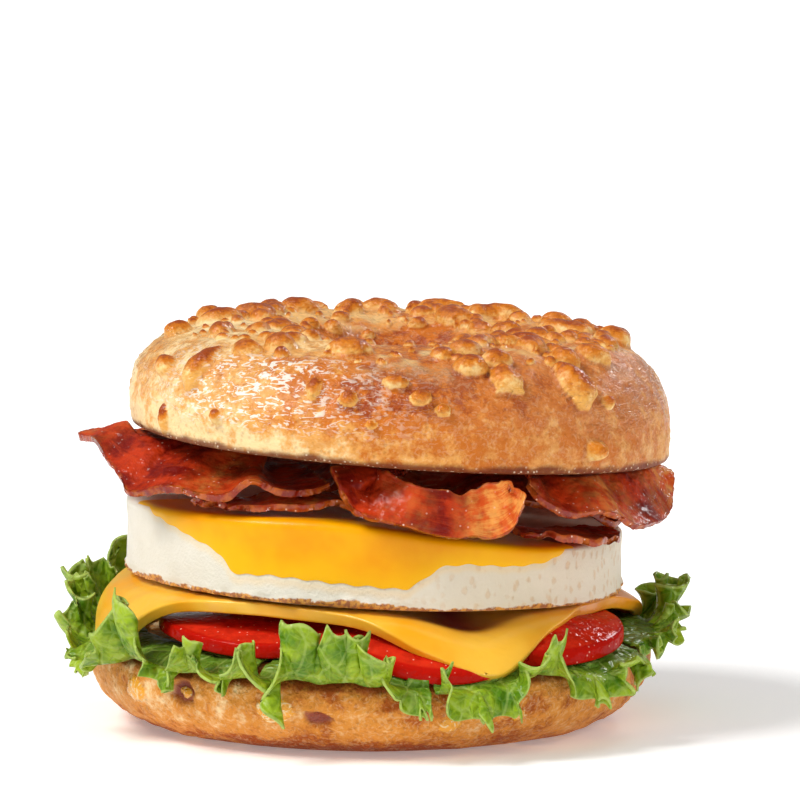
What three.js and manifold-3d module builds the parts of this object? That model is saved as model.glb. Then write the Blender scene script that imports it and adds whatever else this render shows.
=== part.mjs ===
import * as THREE from 'three';
import { mergeVertices } from 'three/addons/utils/BufferGeometryUtils.js';
import Module from 'manifold-3d';

const wasm = await Module();
wasm.setup();

// A bagel sandwich, in millimetres, with +Z up and its front towards -Y.
// Bearings round the sandwich are degrees from the front and grow towards +X.

// Heel, the lower half of the bagel
const heelRadius = 55;
const heelHeight = 17.5;
const heelFootWidth = 18;
const heelWidestHeight = 14;
const heelHoleRadius = 9.5;
const heelSidePower = 2.2;
const heelSwellPhase = 0.7;
const heelSegments = 40;

// Crown, the upper half of the bagel, which leans down to the right
const crownRadius = 53;
const crownShiftX = 5.8;
const crownHeight = 21.5;
const crownCrestRadius = 31;
const crownHoleRadius = 9.5;
const crownWidestHeight = 4.5;
const crownBottomAtAxis = 54.9;
const crownLean = -0.0726;
const crownSegments = 40;

// Round egg patty, thick on the left and thinner on the right
const eggRadius = 48.2;
const eggShiftX = 0.9;
const eggBottomAtAxis = 27.8;
const eggBottomLean = -0.0458;
const eggTopLeft = 44.7;
const eggTopRight = 37.6;
const eggTopFallFrom = -14;
const eggTopFallTo = 44;
const eggSegments = 40;

// Cheese slice, square, with its four corners hanging over
const cheeseSide = 93;
const cheeseThickness = 2.6;
const cheeseCornerBearing = 21.5;
const cheeseFoldRadius = 45.5;
const cheeseBendRadius = 11;
const cheeseSteepest = 52;
const cheeseSteps = 11;

// Tomato slices
const tomatoSegments = 22;

// Lettuce, laid on the heel from a root radius out past its rim
const leafThickness = 0.9;
const leafRootRadius = 44;
const leafClearance = 0.9;
const leafLyingSteps = 2;
const leafAcrossSteps = 5;

// Bacon
const rasherThickness = 2.2;
const rasherAcrossSteps = 4;

// Clear space kept between neighbouring pieces
const gap = 0.3;

const upright = new THREE.Vector3(0, 0, 1);

function clamp(value, low, high) {
  return Math.min(high, Math.max(low, value));
}

function radians(degrees) {
  return THREE.MathUtils.degToRad(degrees);
}

// Bearing of a place in plan, in degrees from the front
function bearingOf(x, y) {
  return THREE.MathUtils.radToDeg(Math.atan2(x, -y));
}

function roundTheAxis(bearing, radius, height) {
  const turn = radians(bearing);
  return new THREE.Vector3(radius * Math.sin(turn), -radius * Math.cos(turn), height);
}

// Seeded draws between 0 and 1
function drawer(seed) {
  let state = seed;
  return () => {
    state = (state * 16807) % 2147483647;
    return state / 2147483647;
  };
}

// Moves every vertex of a geometry
function reshape(geometry, move) {
  const places = geometry.attributes.position;
  const point = new THREE.Vector3();
  for (let index = 0; index < places.count; index += 1) {
    point.fromBufferAttribute(places, index);
    move(point);
    places.setXYZ(index, point.x, point.y, point.z);
  }
  return geometry;
}

// One skin with shared vertices and without triangles that have shrunk to a line
function weld(geometry) {
  geometry.deleteAttribute('normal');
  geometry.deleteAttribute('uv');
  const joined = mergeVertices(geometry, 1e-3);
  const corners = joined.index.array;
  const kept = [];
  for (let start = 0; start < corners.length; start += 3) {
    const [a, b, c] = corners.slice(start, start + 3);
    if (a !== b && b !== c && c !== a) {
      kept.push(a, b, c);
    }
  }
  joined.setIndex(kept);
  return joined;
}

function toSolid(geometry) {
  const joined = weld(geometry);
  const mesh = new wasm.Mesh({
    numProp: 3,
    vertProperties: new Float32Array(joined.attributes.position.array),
    triVerts: new Uint32Array(joined.index.array),
  });
  mesh.merge();
  return new wasm.Manifold(mesh);
}

// The largest piece of a solid, without loose scraps
function largestPiece(solid) {
  const pieces = solid.decompose();
  return pieces.reduce((best, piece) => (piece.volume() > best.volume() ? piece : best));
}

function toGeometry(solid) {
  const mesh = largestPiece(solid).getMesh();
  const geometry = new THREE.BufferGeometry();
  geometry.setAttribute('position', new THREE.BufferAttribute(new Float32Array(mesh.vertProperties), 3));
  geometry.setIndex(new THREE.BufferAttribute(new Uint32Array(mesh.triVerts), 1));
  geometry.computeVertexNormals();
  return geometry;
}

// A closed ring or disc turned about the upright axis from [radius, height] points
function turned(outline, segments) {
  const points = outline.map(([radius, height]) => new THREE.Vector2(radius, height));
  return new THREE.LatheGeometry(points, segments).rotateX(Math.PI / 2);
}

// Quarter of a superellipse, from the widest place to the summit
function quarterRound(centre, reach, rise, power, steps) {
  const points = [];
  for (let step = 0; step <= steps; step += 1) {
    const turn = (Math.PI / 2) * (step / steps);
    const out = Math.cos(turn) ** (2 / power);
    const up = Math.sin(turn) ** (2 / power);
    points.push([centre[0] + reach * out, centre[1] + rise * up]);
  }
  return points;
}

// Layers near the rim sink over the heel's rounded edge, most of all in front
function rimSag(x, y) {
  const past = Math.max(0, Math.hypot(x, y) - 45);
  const frontShare = 0.3 + 0.7 * Math.max(0, Math.cos(radians(bearingOf(x, y))));
  return 0.032 * frontShare * past * past;
}

function heelTop(x, y) {
  const grown = swell(bearingOf(x, y), heelSwellPhase);
  return heelHeight - rimSag(x / grown, y / grown);
}

function eggBottom(x) {
  return eggBottomAtAxis + eggBottomLean * x;
}

function eggTop(x) {
  const share = THREE.MathUtils.smoothstep(x, eggTopFallFrom, eggTopFallTo);
  return THREE.MathUtils.lerp(eggTopLeft, eggTopRight, share);
}

function crownBottom(x) {
  return crownBottomAtAxis + crownLean * (x - crownShiftX);
}

// Slow swelling of a bagel's rim round the axis
function swell(bearing, phase) {
  const turn = radians(bearing);
  return 1 + 0.012 * Math.sin(2 * turn + phase) + 0.008 * Math.sin(3 * turn + 2 * phase)
    + 0.004 * Math.sin(7 * turn + 3 * phase);
}

// A closed thin solid round a middle surface given over along and across shares.
// A margin grows it on every side.
function sheet(alongSteps, acrossSteps, middle, thickness, margin = 0) {
  const faces = [[], []];
  const step = 0.004;
  for (let i = 0; i <= alongSteps; i += 1) {
    for (let j = 0; j <= acrossSteps; j += 1) {
      const along = i / alongSteps;
      const across = j / acrossSteps;
      const centre = middle(along, across);
      const before = middle(Math.max(0, along - step), across);
      const after = middle(Math.min(1, along + step), across);
      const inner = middle(along, Math.max(0, across - step));
      const outer = middle(along, Math.min(1, across + step));
      const alongWay = after.sub(before).normalize();
      const acrossWay = outer.sub(inner).normalize();
      const normal = alongWay.clone().cross(acrossWay).normalize();
      const half = thickness(along, across) / 2 + margin;
      centre.addScaledVector(alongWay, margin * endSign(i, alongSteps));
      centre.addScaledVector(acrossWay, margin * endSign(j, acrossSteps));
      faces[0].push(centre.clone().addScaledVector(normal, half));
      faces[1].push(centre.clone().addScaledVector(normal, -half));
    }
  }
  return sheetGeometry(alongSteps, acrossSteps, faces);
}

// Minus one at a sheet's first row, one at its last and nothing between
function endSign(index, last) {
  return (index === last ? 1 : 0) - (index === 0 ? 1 : 0);
}

function sheetGeometry(alongSteps, acrossSteps, faces) {
  const row = acrossSteps + 1;
  const shift = faces[0].length;
  const corners = [];
  const addQuad = (a, b, c, d) => corners.push(a, b, c, a, c, d);
  for (let i = 0; i < alongSteps; i += 1) {
    for (let j = 0; j < acrossSteps; j += 1) {
      const a = i * row + j;
      const b = a + row;
      addQuad(a, b, b + 1, a + 1);
      corners.push(shift + a, shift + b + 1, shift + b, shift + a, shift + a + 1, shift + b + 1);
    }
  }
  for (let i = 0; i < alongSteps; i += 1) {
    const a = i * row;
    const d = a + acrossSteps;
    addQuad(a, shift + a, shift + a + row, a + row);
    addQuad(d + row, shift + d + row, shift + d, d);
  }
  for (let j = 0; j < acrossSteps; j += 1) {
    const last = alongSteps * row + j;
    addQuad(j + 1, shift + j + 1, shift + j, j);
    addQuad(last, shift + last, shift + last + 1, last + 1);
  }
  const geometry = new THREE.BufferGeometry();
  const places = faces.flat().flatMap((point) => [point.x, point.y, point.z]);
  geometry.setAttribute('position', new THREE.Float32BufferAttribute(places, 3));
  geometry.setIndex(corners);
  return geometry;
}

function heelShape(margin) {
  const radius = heelRadius + margin;
  const height = heelHeight + margin;
  const side = quarterRound([radius - heelFootWidth, heelWidestHeight], heelFootWidth,
    -heelWidestHeight, heelSidePower, 6).reverse();
  const outline = [
    [heelHoleRadius + 5, 0],
    ...side,
    [radius - 0.4, height - 1.2],
    [radius - 1.6, height],
    [radius - 6, height],
    [radius - 12, height],
    [heelHoleRadius + 1.2, height],
    [heelHoleRadius, height - 2],
    [heelHoleRadius + 0.6, heelHeight / 3],
    [heelHoleRadius + 5, 0],
  ];
  return reshape(turned(outline, heelSegments), (point) => {
    const grown = swell(bearingOf(point.x, point.y), heelSwellPhase);
    const share = point.z / heelHeight;
    point.z -= share * share * rimSag(point.x, point.y);
    point.x *= grown;
    point.y *= grown;
  });
}

// Height of the crown's crust above its level base at a distance from its axis
function crownCrust(radius) {
  const outside = radius > crownCrestRadius;
  const reach = outside ? crownRadius - crownCrestRadius : crownCrestRadius - crownHoleRadius;
  const power = outside ? 2.6 : 2.1;
  const out = clamp(Math.abs(radius - crownCrestRadius) / reach, 0, 1);
  return crownWidestHeight + (crownHeight - crownWidestHeight) * (1 - out ** power) ** (1 / power);
}

function crownRing() {
  const centre = [crownCrestRadius, crownWidestHeight];
  const rise = crownHeight - crownWidestHeight;
  const outer = quarterRound(centre, crownRadius - crownCrestRadius, rise, 2.6, 7);
  const inner = quarterRound(centre, crownHoleRadius - crownCrestRadius, rise, 2.1, 5).reverse();
  const outline = [
    [crownRadius - 1.6, 0],
    ...outer,
    ...inner.slice(1),
    [crownHoleRadius + 0.8, 0],
    [crownCrestRadius, 0],
    [crownRadius - 1.6, 0],
  ];
  return reshape(turned(outline, crownSegments), (point) => placeOnCrown(point));
}

// The base of the crown follows its lean, while its crest stays almost level
function placeOnCrown(point) {
  const grown = swell(bearingOf(point.x, point.y), 2.1);
  const share = clamp(point.z / crownHeight, 0, 1);
  const lean = crownLean * point.x * (1 - 0.55 * share);
  const backRise = 0.022 * point.y * share;
  point.z += crownBottomAtAxis + lean + backRise;
  point.x = crownShiftX + point.x * grown;
  point.y *= grown;
}

// A rounded pebble, with more facets the longer it is
function pebble(length) {
  if (length > 8.2) {
    return new THREE.IcosahedronGeometry(1, 1);
  }
  return length > 5 ? new THREE.OctahedronGeometry(1, 1) : new THREE.IcosahedronGeometry(1, 0);
}

// A lump of baked cheese that stands up from the crust
function nub(x, y, length, width, turnDegrees) {
  const height = 0.36 * width + 0.9;
  const geometry = pebble(length);
  const crust = crownCrust(Math.hypot(x, y));
  const point = new THREE.Vector3(x, y, crust);
  placeOnCrown(point);
  geometry.scale(length / 2, width / 2, height);
  geometry.rotateZ(radians(turnDegrees));
  geometry.translate(point.x, point.y, point.z);
  return toSolid(geometry);
}

// Largest nubs, as [x, y, length, width, turn] on the crown's plan
const largeNubs = [
  [-36.5, -30, 11, 5.5, 35],
  [-43, -20, 5.5, 4.6, 70],
  [-43.5, -3, 5, 4.5, 0],
  [-35, 3, 8.5, 5.5, 20],
  [-29, 12, 9, 6, -15],
  [-20, 25, 8.5, 5.5, 10],
  [-9.5, 30, 5.5, 5, 0],
  [-4, 35, 7.5, 4.5, 5],
  [8, 34, 8.5, 5, -10],
  [10, 23, 6.5, 6, 30],
  [20, 27, 11.5, 5.5, -10],
  [31, 20, 6.5, 4.5, -20],
  [42, 1, 7.5, 6, 60],
  [26, -15, 6.5, 5.5, 20],
  [33, -19, 6.5, 5.5, -30],
  [32, 3, 12, 5, -15],
  [13, -26, 5.5, 5, 0],
  [18, -30, 5.5, 5, 40],
  [20, -37.5, 6.5, 4.4, -60],
  [13.5, -35, 5.5, 4.4, 15],
  [33.5, -31, 9.5, 7, -35],
  [-9, -26, 7.5, 6, 0],
];

// Smaller nubs between them, mostly on the back and right of the crest
function smallNubs() {
  const draw = drawer(4127);
  const nubs = [];
  for (let index = 0; index < 12; index += 1) {
    const bearing = 40 + 250 * draw();
    const radius = 17 + 27 * draw();
    const length = 3 + 2.2 * draw();
    const place = roundTheAxis(bearing, radius, 0);
    nubs.push([place.x, place.y, length, 0.8 * length, 180 * draw()]);
  }
  return nubs;
}

function crownShape() {
  let solid = toSolid(crownRing());
  for (const [x, y, length, width, turn] of [...largeNubs, ...smallNubs()]) {
    solid = solid.add(nub(x, y, length, width, turn));
  }
  return solid;
}

// The whole egg patty, or one grown by a margin on every side
function eggDisc(margin) {
  const radius = eggRadius + margin;
  const outline = [
    [0, 0],
    [0.45 * radius, 0],
    [radius - 2.5, 0],
    [radius - 0.3, 0.06],
    [radius, 0.2],
    [radius - 0.3, 0.6],
    [radius, 0.93],
    [radius - 0.9, 1],
    [0.8 * radius, 0.985],
    [0.45 * radius, 0.985],
    [0, 0.985],
  ];
  return reshape(turned(outline, eggSegments), (point) => {
    const bearing = radians(bearingOf(point.x, point.y));
    const grown = 1 + 0.004 * Math.sin(3 * bearing + 1) + 0.003 * Math.sin(8 * bearing);
    point.x = eggShiftX + point.x * grown;
    point.y *= grown;
    const low = eggBottom(point.x) - margin;
    const high = eggTop(point.x) + margin;
    point.z = low + (high - low) * point.z;
  });
}

// Lower edge of the yolk on the patty's side, as [bearing, share of the depth from the top]
const yolkEdge = [
  [-72, -0.1], [-62, 0.12], [-50, 0.3], [-38, 0.5], [-34, 0.77], [-24, 0.73],
  [-8, 0.77], [8, 0.78], [14, 0.45], [20, 0.37], [34, 0.36], [44, 0.26], [52, -0.1],
];
const yolkInnerRadius = 22;

function yolkDepth(bearing) {
  const last = yolkEdge.length - 1;
  const place = clamp(bearing, yolkEdge[0][0], yolkEdge[last][0]);
  const next = Math.max(1, yolkEdge.findIndex(([edge]) => edge >= place));
  const [fromBearing, fromDepth] = yolkEdge[next - 1];
  const [toBearing, toDepth] = yolkEdge[next];
  return THREE.MathUtils.mapLinear(place, fromBearing, toBearing, fromDepth, toDepth);
}

// The space that the yolk takes up, shrunk by a margin on the sides inside the egg
function yolkSpace(margin) {
  const first = yolkEdge[0][0] + THREE.MathUtils.radToDeg(margin / eggRadius);
  const last = yolkEdge[yolkEdge.length - 1][0] - THREE.MathUtils.radToDeg(margin / eggRadius);
  const steps = 24;
  const inner = (along) => yolkInnerRadius + margin + 4 * Math.sin(9 * along);
  const outer = eggRadius + 4;
  const faces = [[], []];
  for (let step = 0; step <= steps; step += 1) {
    const along = step / steps;
    const bearing = THREE.MathUtils.lerp(first, last, along);
    const rim = roundTheAxis(bearing, eggRadius, 0);
    const top = eggTop(rim.x);
    const depth = (top - eggBottom(rim.x)) * yolkDepth(bearing);
    const low = Math.min(top - depth + margin, top - 0.6);
    const shallow = Math.min(top - 0.35 * depth + margin, top - 0.5);
    const near = roundTheAxis(bearing, outer, low);
    const far = roundTheAxis(bearing, inner(along), shallow);
    faces[0].push(near.clone().setZ(top + 4), far.clone().setZ(top + 4));
    faces[1].push(near, far);
  }
  return toSolid(sheetGeometry(steps, 1, faces).translate(eggShiftX, 0, 0));
}

// How far out and down a point of the slice ends up when it bends over the fold
function drape(reach) {
  const past = Math.max(0, reach - cheeseFoldRadius);
  const steepest = radians(cheeseSteepest);
  const bend = Math.min(past / cheeseBendRadius, steepest);
  const straight = Math.max(0, past - steepest * cheeseBendRadius);
  const out = Math.min(reach, cheeseFoldRadius) + cheeseBendRadius * Math.sin(bend)
    + straight * Math.cos(bend);
  const drop = cheeseBendRadius * (1 - Math.cos(bend)) + straight * Math.sin(bend);
  return { out, drop };
}

// Place on the draped cheese of a point of the flat square slice
function cheeseMiddle(along, across) {
  const flatX = 2 * along - 1;
  const flatY = 2 * across - 1;
  const corner = 1 - 0.1 * (flatX * flatX * flatY * flatY) ** 1.5;
  const wave = 1 + 0.02 * Math.sin(5 * flatX + 2) * flatY * flatY
    + 0.02 * Math.sin(4 * flatY) * flatX * flatX;
  const turn = radians(cheeseCornerBearing - 45);
  const x = (cheeseSide / 2) * corner * wave * (flatX * Math.cos(turn) - flatY * Math.sin(turn));
  const y = (cheeseSide / 2) * corner * wave * (flatX * Math.sin(turn) + flatY * Math.cos(turn));
  const reach = Math.hypot(x, y);
  const { out, drop } = drape(reach);
  const scale = reach > 0 ? out / reach : 1;
  const level = eggBottom(clamp(x * scale, -eggRadius, eggRadius)) - gap - cheeseThickness / 2;
  return new THREE.Vector3(x * scale, y * scale, level - drop);
}

function cheeseShape(margin) {
  const thickness = (along, across) => {
    const edge = Math.max(Math.abs(2 * along - 1), Math.abs(2 * across - 1));
    return cheeseThickness * (1 - 0.35 * THREE.MathUtils.smoothstep(edge, 0.86, 1));
  };
  return toSolid(sheet(cheeseSteps, cheeseSteps, cheeseMiddle, thickness, margin));
}

// A round slice that sags over the heel's rim
function tomatoSlice({ x, y, radius, thickness, lift, liftRight, margin = 0 }) {
  const reach = radius + margin;
  const half = thickness / 2 + margin;
  const outline = [
    [0, -half],
    [0.6 * reach, -half],
    [reach - 1.2, -half],
    [reach - 0.1, -0.4 * half],
    [reach - 0.1, 0.4 * half],
    [reach - 1.2, half],
    [0.6 * reach, half],
    [0, half],
  ];
  return toSolid(reshape(turned(outline, tomatoSegments), (point) => {
    point.x += x;
    point.y += y;
    const bearing = radians(bearingOf(point.x - x, point.y - y));
    point.z += heelTop(point.x, point.y) + lift + liftRight * (point.x - x) + thickness / 2
      + 0.25 * Math.sin(3 * bearing + x);
  }));
}

const tomatoes = {
  tomato_centre: { x: 10, y: -32, radius: 24, thickness: 3.8, lift: 2.35, liftRight: 0 },
  tomato_left: { x: -14, y: -19.5, radius: 26.5, thickness: 3.8, lift: 2.9, liftRight: 0.015 },
  tomato_right: { x: 24, y: -22, radius: 24.5, thickness: 4.1, lift: 2.6, liftRight: -0.02 },
  tomato_back: { x: 3, y: 29.5, radius: 25, thickness: 4.2, lift: 2.4, liftRight: -0.01 },
};

function tomatoShapes(cheese) {
  const placed = {};
  const cutters = [cheese];
  for (const [name, slice] of Object.entries(tomatoes)) {
    let solid = tomatoSlice(slice);
    for (const cutter of cutters) {
      solid = solid.subtract(cutter);
    }
    placed[name] = solid;
    cutters.push(tomatoSlice({ ...slice, margin: gap }));
  }
  return placed;
}

// How far the tomato slices reach from the axis at a bearing
function tomatoReach(bearing) {
  let farthest = 0;
  for (const { x, y, radius } of Object.values(tomatoes)) {
    const offset = Math.hypot(x, y);
    const turn = radians(bearing - bearingOf(x, y));
    const inside = radius * radius - (offset * Math.sin(turn)) ** 2;
    if (inside > 0) {
      farthest = Math.max(farthest, offset * Math.cos(turn) + Math.sqrt(inside));
    }
  }
  return farthest;
}

// How far the draped cheese reaches from the axis at a bearing
function cheeseReach(bearing) {
  const turn = radians(bearing - cheeseCornerBearing + 45);
  const side = Math.max(Math.abs(Math.cos(turn)), Math.abs(Math.sin(turn)));
  return drape(Math.min(cheeseSide / 2 / side, 61)).out;
}

// Value along a list of evenly spaced stations, smoothly joined
function alongStations(stations, share) {
  const place = clamp(share, 0, 1) * (stations.length - 1);
  const first = Math.min(Math.floor(place), stations.length - 2);
  return THREE.MathUtils.lerp(stations[first], stations[first + 1],
    THREE.MathUtils.smoothstep(place - first, 0, 1));
}

// Height of a leaf where it lies on the heel
function leafLevel(place) {
  return heelTop(place.x, place.y) + leafClearance;
}

// Radius of the heel's side at a height
function heelSide(bearing, height) {
  const depth = clamp(1 - height / heelWidestHeight, 0, 1);
  const inward = 1 - (1 - depth ** heelSidePower) ** (1 / heelSidePower);
  return (heelRadius - heelFootWidth * inward) * swell(bearing, heelSwellPhase);
}

// Lifts a place on a leaf off the heel's top, or moves it out past the heel's side
function keepOffHeel(point) {
  const bearing = bearingOf(point.x, point.y);
  const radius = Math.hypot(point.x, point.y);
  const side = heelSide(bearing, point.z) + leafClearance;
  if (radius >= side || point.z >= leafLevel(point)) {
    return point;
  }
  if (radius < heelRadius - 1) {
    return point.setZ(leafLevel(point));
  }
  return roundTheAxis(bearing, side, point.z);
}

// Place on a lettuce leaf that lies on the heel and frills out past its rim
function leafMiddle(leaf) {
  const rootShare = leafLyingSteps / leafAcrossSteps;
  return (along, across) => {
    const bearing = THREE.MathUtils.lerp(leaf.from, leaf.to, along);
    const lie = Math.min(1, across / rootShare);
    const rim = leaf.rim * swell(bearing, heelSwellPhase);
    const place = roundTheAxis(bearing, THREE.MathUtils.lerp(leafRootRadius, rim, lie), 0);
    place.z = leafLevel(place);
    if (across <= rootShare) {
      return place;
    }
    const outward = (across - rootShare) / (1 - rootShare);
    const covered = Math.max(tomatoReach(bearing), cheeseReach(bearing)) + 1.2;
    const straight = Math.max(0, covered - rim);
    const length = alongStations(leaf.lengths, along);
    const travel = outward * (straight + length);
    const curl = Math.max(0, travel - straight);
    const bend = radians(alongStations(leaf.bends, along)) * (curl / length);
    const ripple = 2 * Math.PI * leaf.waves * along + leaf.phase;
    const frill = leaf.frill * (curl / length) ** 1.5 * Math.sin(ripple);
    const out = Math.min(travel, straight) + curl * Math.cos(bend / 2) - frill * Math.sin(bend);
    const up = curl * Math.sin(bend / 2) + frill * Math.cos(bend) - 0.5 * Math.min(travel, straight);
    const twist = leaf.frill * (curl / length) * Math.cos(ripple);
    return keepOffHeel(roundTheAxis(bearing + twist, rim + out, place.z + up));
  };
}

// Leaves: lengths of the free edge and its curl in degrees, up when positive, at even stations
const leaves = {
  lettuce_left: {
    from: -122, to: -78, rim: 50.5, waves: 3.5, phase: 0.4, frill: 1.2, steps: 15,
    lengths: [5, 17, 17, 16, 12, 7, 3], bends: [60, 150, 130, 100, 55, 20, 0],
  },
  lettuce_front_left: {
    from: -76, to: -24, rim: 55.2, waves: 5, phase: 1.2, frill: 1.1, steps: 19,
    lengths: [3, 7, 8, 12, 11, 7, 7, 7, 4], bends: [-40, -90, 0, 130, 120, -90, 40, -110, -60],
  },
  lettuce_front: {
    from: -22, to: 11, rim: 55.2, waves: 4, phase: 2.2, frill: 1, steps: 16,
    lengths: [4, 10, 9, 10, 9, 8, 4], bends: [60, -145, -120, 135, 110, -130, -120],
  },
  lettuce_front_right: {
    from: 12, to: 67, rim: 55.2, waves: 6, phase: 0.2, frill: 1, steps: 21,
    lengths: [4, 10, 8, 9, 6, 7, 9, 9, 4], bends: [-130, -140, -120, -140, -70, -110, -140, -130, -30],
  },
  lettuce_right: {
    from: 69, to: 118, rim: 54, waves: 4, phase: 1.9, frill: 1.2, steps: 16,
    lengths: [3, 7, 9.5, 10.5, 10, 12, 9, 4], bends: [-30, -35, -5, 15, 60, 100, 100, 30],
  },
  lettuce_back: {
    from: 122, to: 234, rim: 55.2, waves: 8, phase: 0.8, frill: 1.1, steps: 24,
    lengths: [3, 8, 7, 8, 7, 8, 7, 8, 3], bends: [-30, -110, 40, -90, -120, 30, -90, -115, -20],
  },
};

function leafShape(leaf) {
  const thickness = (along, across) => leafThickness * (1 - 0.3 * across);
  return toSolid(sheet(leaf.steps, leafAcrossSteps, leafMiddle(leaf), thickness));
}

// Place on a rasher whose middle line runs through a few places
function rasherMiddle(rasher) {
  const line = new THREE.CatmullRomCurve3(rasher.line.map((place) => new THREE.Vector3(...place)));
  const [startSlant, endSlant] = rasher.slants;
  return (along, across) => {
    const share = along + (1 - across) * THREE.MathUtils.lerp(startSlant, -endSlant, along);
    const centre = line.getPoint(share);
    const ahead = line.getTangent(share);
    const side = upright.clone().cross(ahead).normalize();
    const lean = radians(alongStations(rasher.leans, along));
    const width = alongStations(rasher.widths, along);
    const ripple = 2 * Math.PI * (rasher.waves * along + rasher.skew * across) + rasher.phase;
    const wave = rasher.wave * Math.sin(ripple);
    const offset = (across - 0.5) * width;
    centre.addScaledVector(side, offset * Math.cos(lean) - wave * Math.sin(lean));
    centre.z += offset * Math.sin(lean) + wave * Math.cos(lean);
    return keepBetween(centre);
  };
}

// Keeps the middle of a rasher clear of the egg below and the crown above
function keepBetween(point) {
  const clearance = gap + 0.62 * rasherThickness;
  const insideEgg = Math.hypot(point.x - eggShiftX, point.y) < eggRadius + 2;
  const insideCrown = Math.hypot(point.x - crownShiftX, point.y) < crownRadius + 1.5;
  if (insideEgg) {
    point.z = Math.max(point.z, eggTop(point.x) + clearance);
  }
  if (insideCrown) {
    point.z = Math.min(point.z, crownBottom(point.x) - clearance);
  }
  return point;
}

// Rashers, each with a line of places, its widths, its sideways leans in degrees, its waves,
// and the share of its length by which each end is cut back along the front edge
const rashers = {
  bacon_left_lower: {
    line: [[-33, -32, 46.6], [-15, -36, 47], [8, -34, 46.2]], slants: [0.1, 0],
    widths: [13, 17, 15], leans: [2, 5, 0], waves: 2, skew: 0.2, phase: 0, wave: 0.7, steps: 9,
  },
  bacon_left: {
    line: [[-57, -16, 54], [-42, -22, 52.6], [-22, -30, 52], [-5, -28, 52]], slants: [0.22, 0],
    widths: [18, 28, 27, 22], leans: [14, 21, 15, 10], waves: 2.5, skew: 0.2, phase: 0.7, wave: 1.4, steps: 14,
  },
  bacon_centre: {
    line: [[-6, -40, 50.5], [3, -45.5, 48.5], [12, -48, 47.2], [19, -51, 46.3], [28, -47.5, 46.6]],
    slants: [0, 0],
    widths: [10, 13, 11, 12, 9], leans: [62, 50, 72, 60, 66], waves: 2, skew: 0, phase: 0.6, wave: 1.6, steps: 14,
  },
  bacon_middle: {
    line: [[-16, 4, 50.5], [4, -5, 49], [24, -12, 47.5], [42, -8, 45.5]], slants: [0, 0.1],
    widths: [24, 28, 28, 22], leans: [0, 4, 6, 4], waves: 2.25, skew: 0.15, phase: 0.9, wave: 3.4, steps: 14,
  },
  bacon_right: {
    line: [[27, -31, 47.8], [40, -28, 46.4], [50, -20, 46.2], [58, -9, 47]], slants: [0, 0.24],
    widths: [16, 20, 20, 15], leans: [22, 24, 26, 30], waves: 2, skew: 0.2, phase: 0.8, wave: 1.2, steps: 12,
  },
  bacon_right_lower: {
    line: [[28, -38, 41], [37, -32, 40.2], [46, -22, 39.8]], slants: [0, 0],
    widths: [9, 12, 9], leans: [4, 6, 8], waves: 1, skew: 0.1, phase: 0, wave: 0.5, steps: 7,
  },
  bacon_back_left: {
    line: [[6, 32, 50], [-16, 34, 51], [-34, 25, 52], [-50, 11, 53]], slants: [0, 0.1],
    widths: [22, 28, 27, 18], leans: [16, 12, 16, 20], waves: 2.5, skew: 0.25, phase: 0.9, wave: 2.6, steps: 14,
  },
  bacon_back_right: {
    line: [[57, 14, 45.5], [42, 26, 46], [24, 35, 47], [9, 38, 48]], slants: [0.1, 0],
    widths: [16, 25, 25, 18], leans: [22, 16, 18, 22], waves: 2.5, skew: 0.2, phase: 2.6, wave: 2.2, steps: 14,
  },
};

function rasherShape(rasher, margin) {
  const thickness = (along, across) => {
    const edge = Math.abs(2 * across - 1);
    return rasherThickness * (1 - 0.4 * edge ** 4);
  };
  return toSolid(sheet(rasher.steps, rasherAcrossSteps, rasherMiddle(rasher), thickness, margin));
}

// Rashers laid one after another, each clear of those already laid
function rasherShapes(around) {
  const placed = {};
  const cutters = [...around];
  for (const [name, rasher] of Object.entries(rashers)) {
    let solid = rasherShape(rasher, 0);
    for (const cutter of cutters) {
      solid = solid.subtract(cutter);
    }
    placed[name] = solid;
    cutters.push(rasherShape(rasher, gap));
  }
  return placed;
}

const finishes = {
  crust: new THREE.MeshStandardMaterial({ color: 0xc98a4e, roughness: 0.5, metalness: 0 }),
  paleCrust: new THREE.MeshStandardMaterial({ color: 0xd9a86c, roughness: 0.65, metalness: 0 }),
  eggWhite: new THREE.MeshStandardMaterial({ color: 0xebe3d2, roughness: 0.45, metalness: 0 }),
  yolk: new THREE.MeshStandardMaterial({ color: 0xffb400, roughness: 0.35, metalness: 0 }),
  cheese: new THREE.MeshStandardMaterial({ color: 0xfbb02c, roughness: 0.4, metalness: 0 }),
  tomato: new THREE.MeshStandardMaterial({ color: 0xc41a17, roughness: 0.2, metalness: 0 }),
  lettuce: new THREE.MeshStandardMaterial({ color: 0x6a9a2a, roughness: 0.4, metalness: 0 }),
  bacon: new THREE.MeshStandardMaterial({ color: 0x9c2a1c, roughness: 0.25, metalness: 0 }),
};

const stack = new THREE.Group();

function addPiece(name, solid, finish) {
  const piece = new THREE.Mesh(toGeometry(solid), finish);
  piece.name = name;
  stack.add(piece);
}

function addBagel() {
  addPiece('heel', toSolid(heelShape(0)), finishes.paleCrust);
  addPiece('crown', crownShape(), finishes.crust);
}

function addEgg() {
  const disc = toSolid(eggDisc(0));
  addPiece('egg_white', disc.subtract(yolkSpace(0)), finishes.eggWhite);
  addPiece('yolk', disc.intersect(yolkSpace(gap)), finishes.yolk);
}

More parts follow.
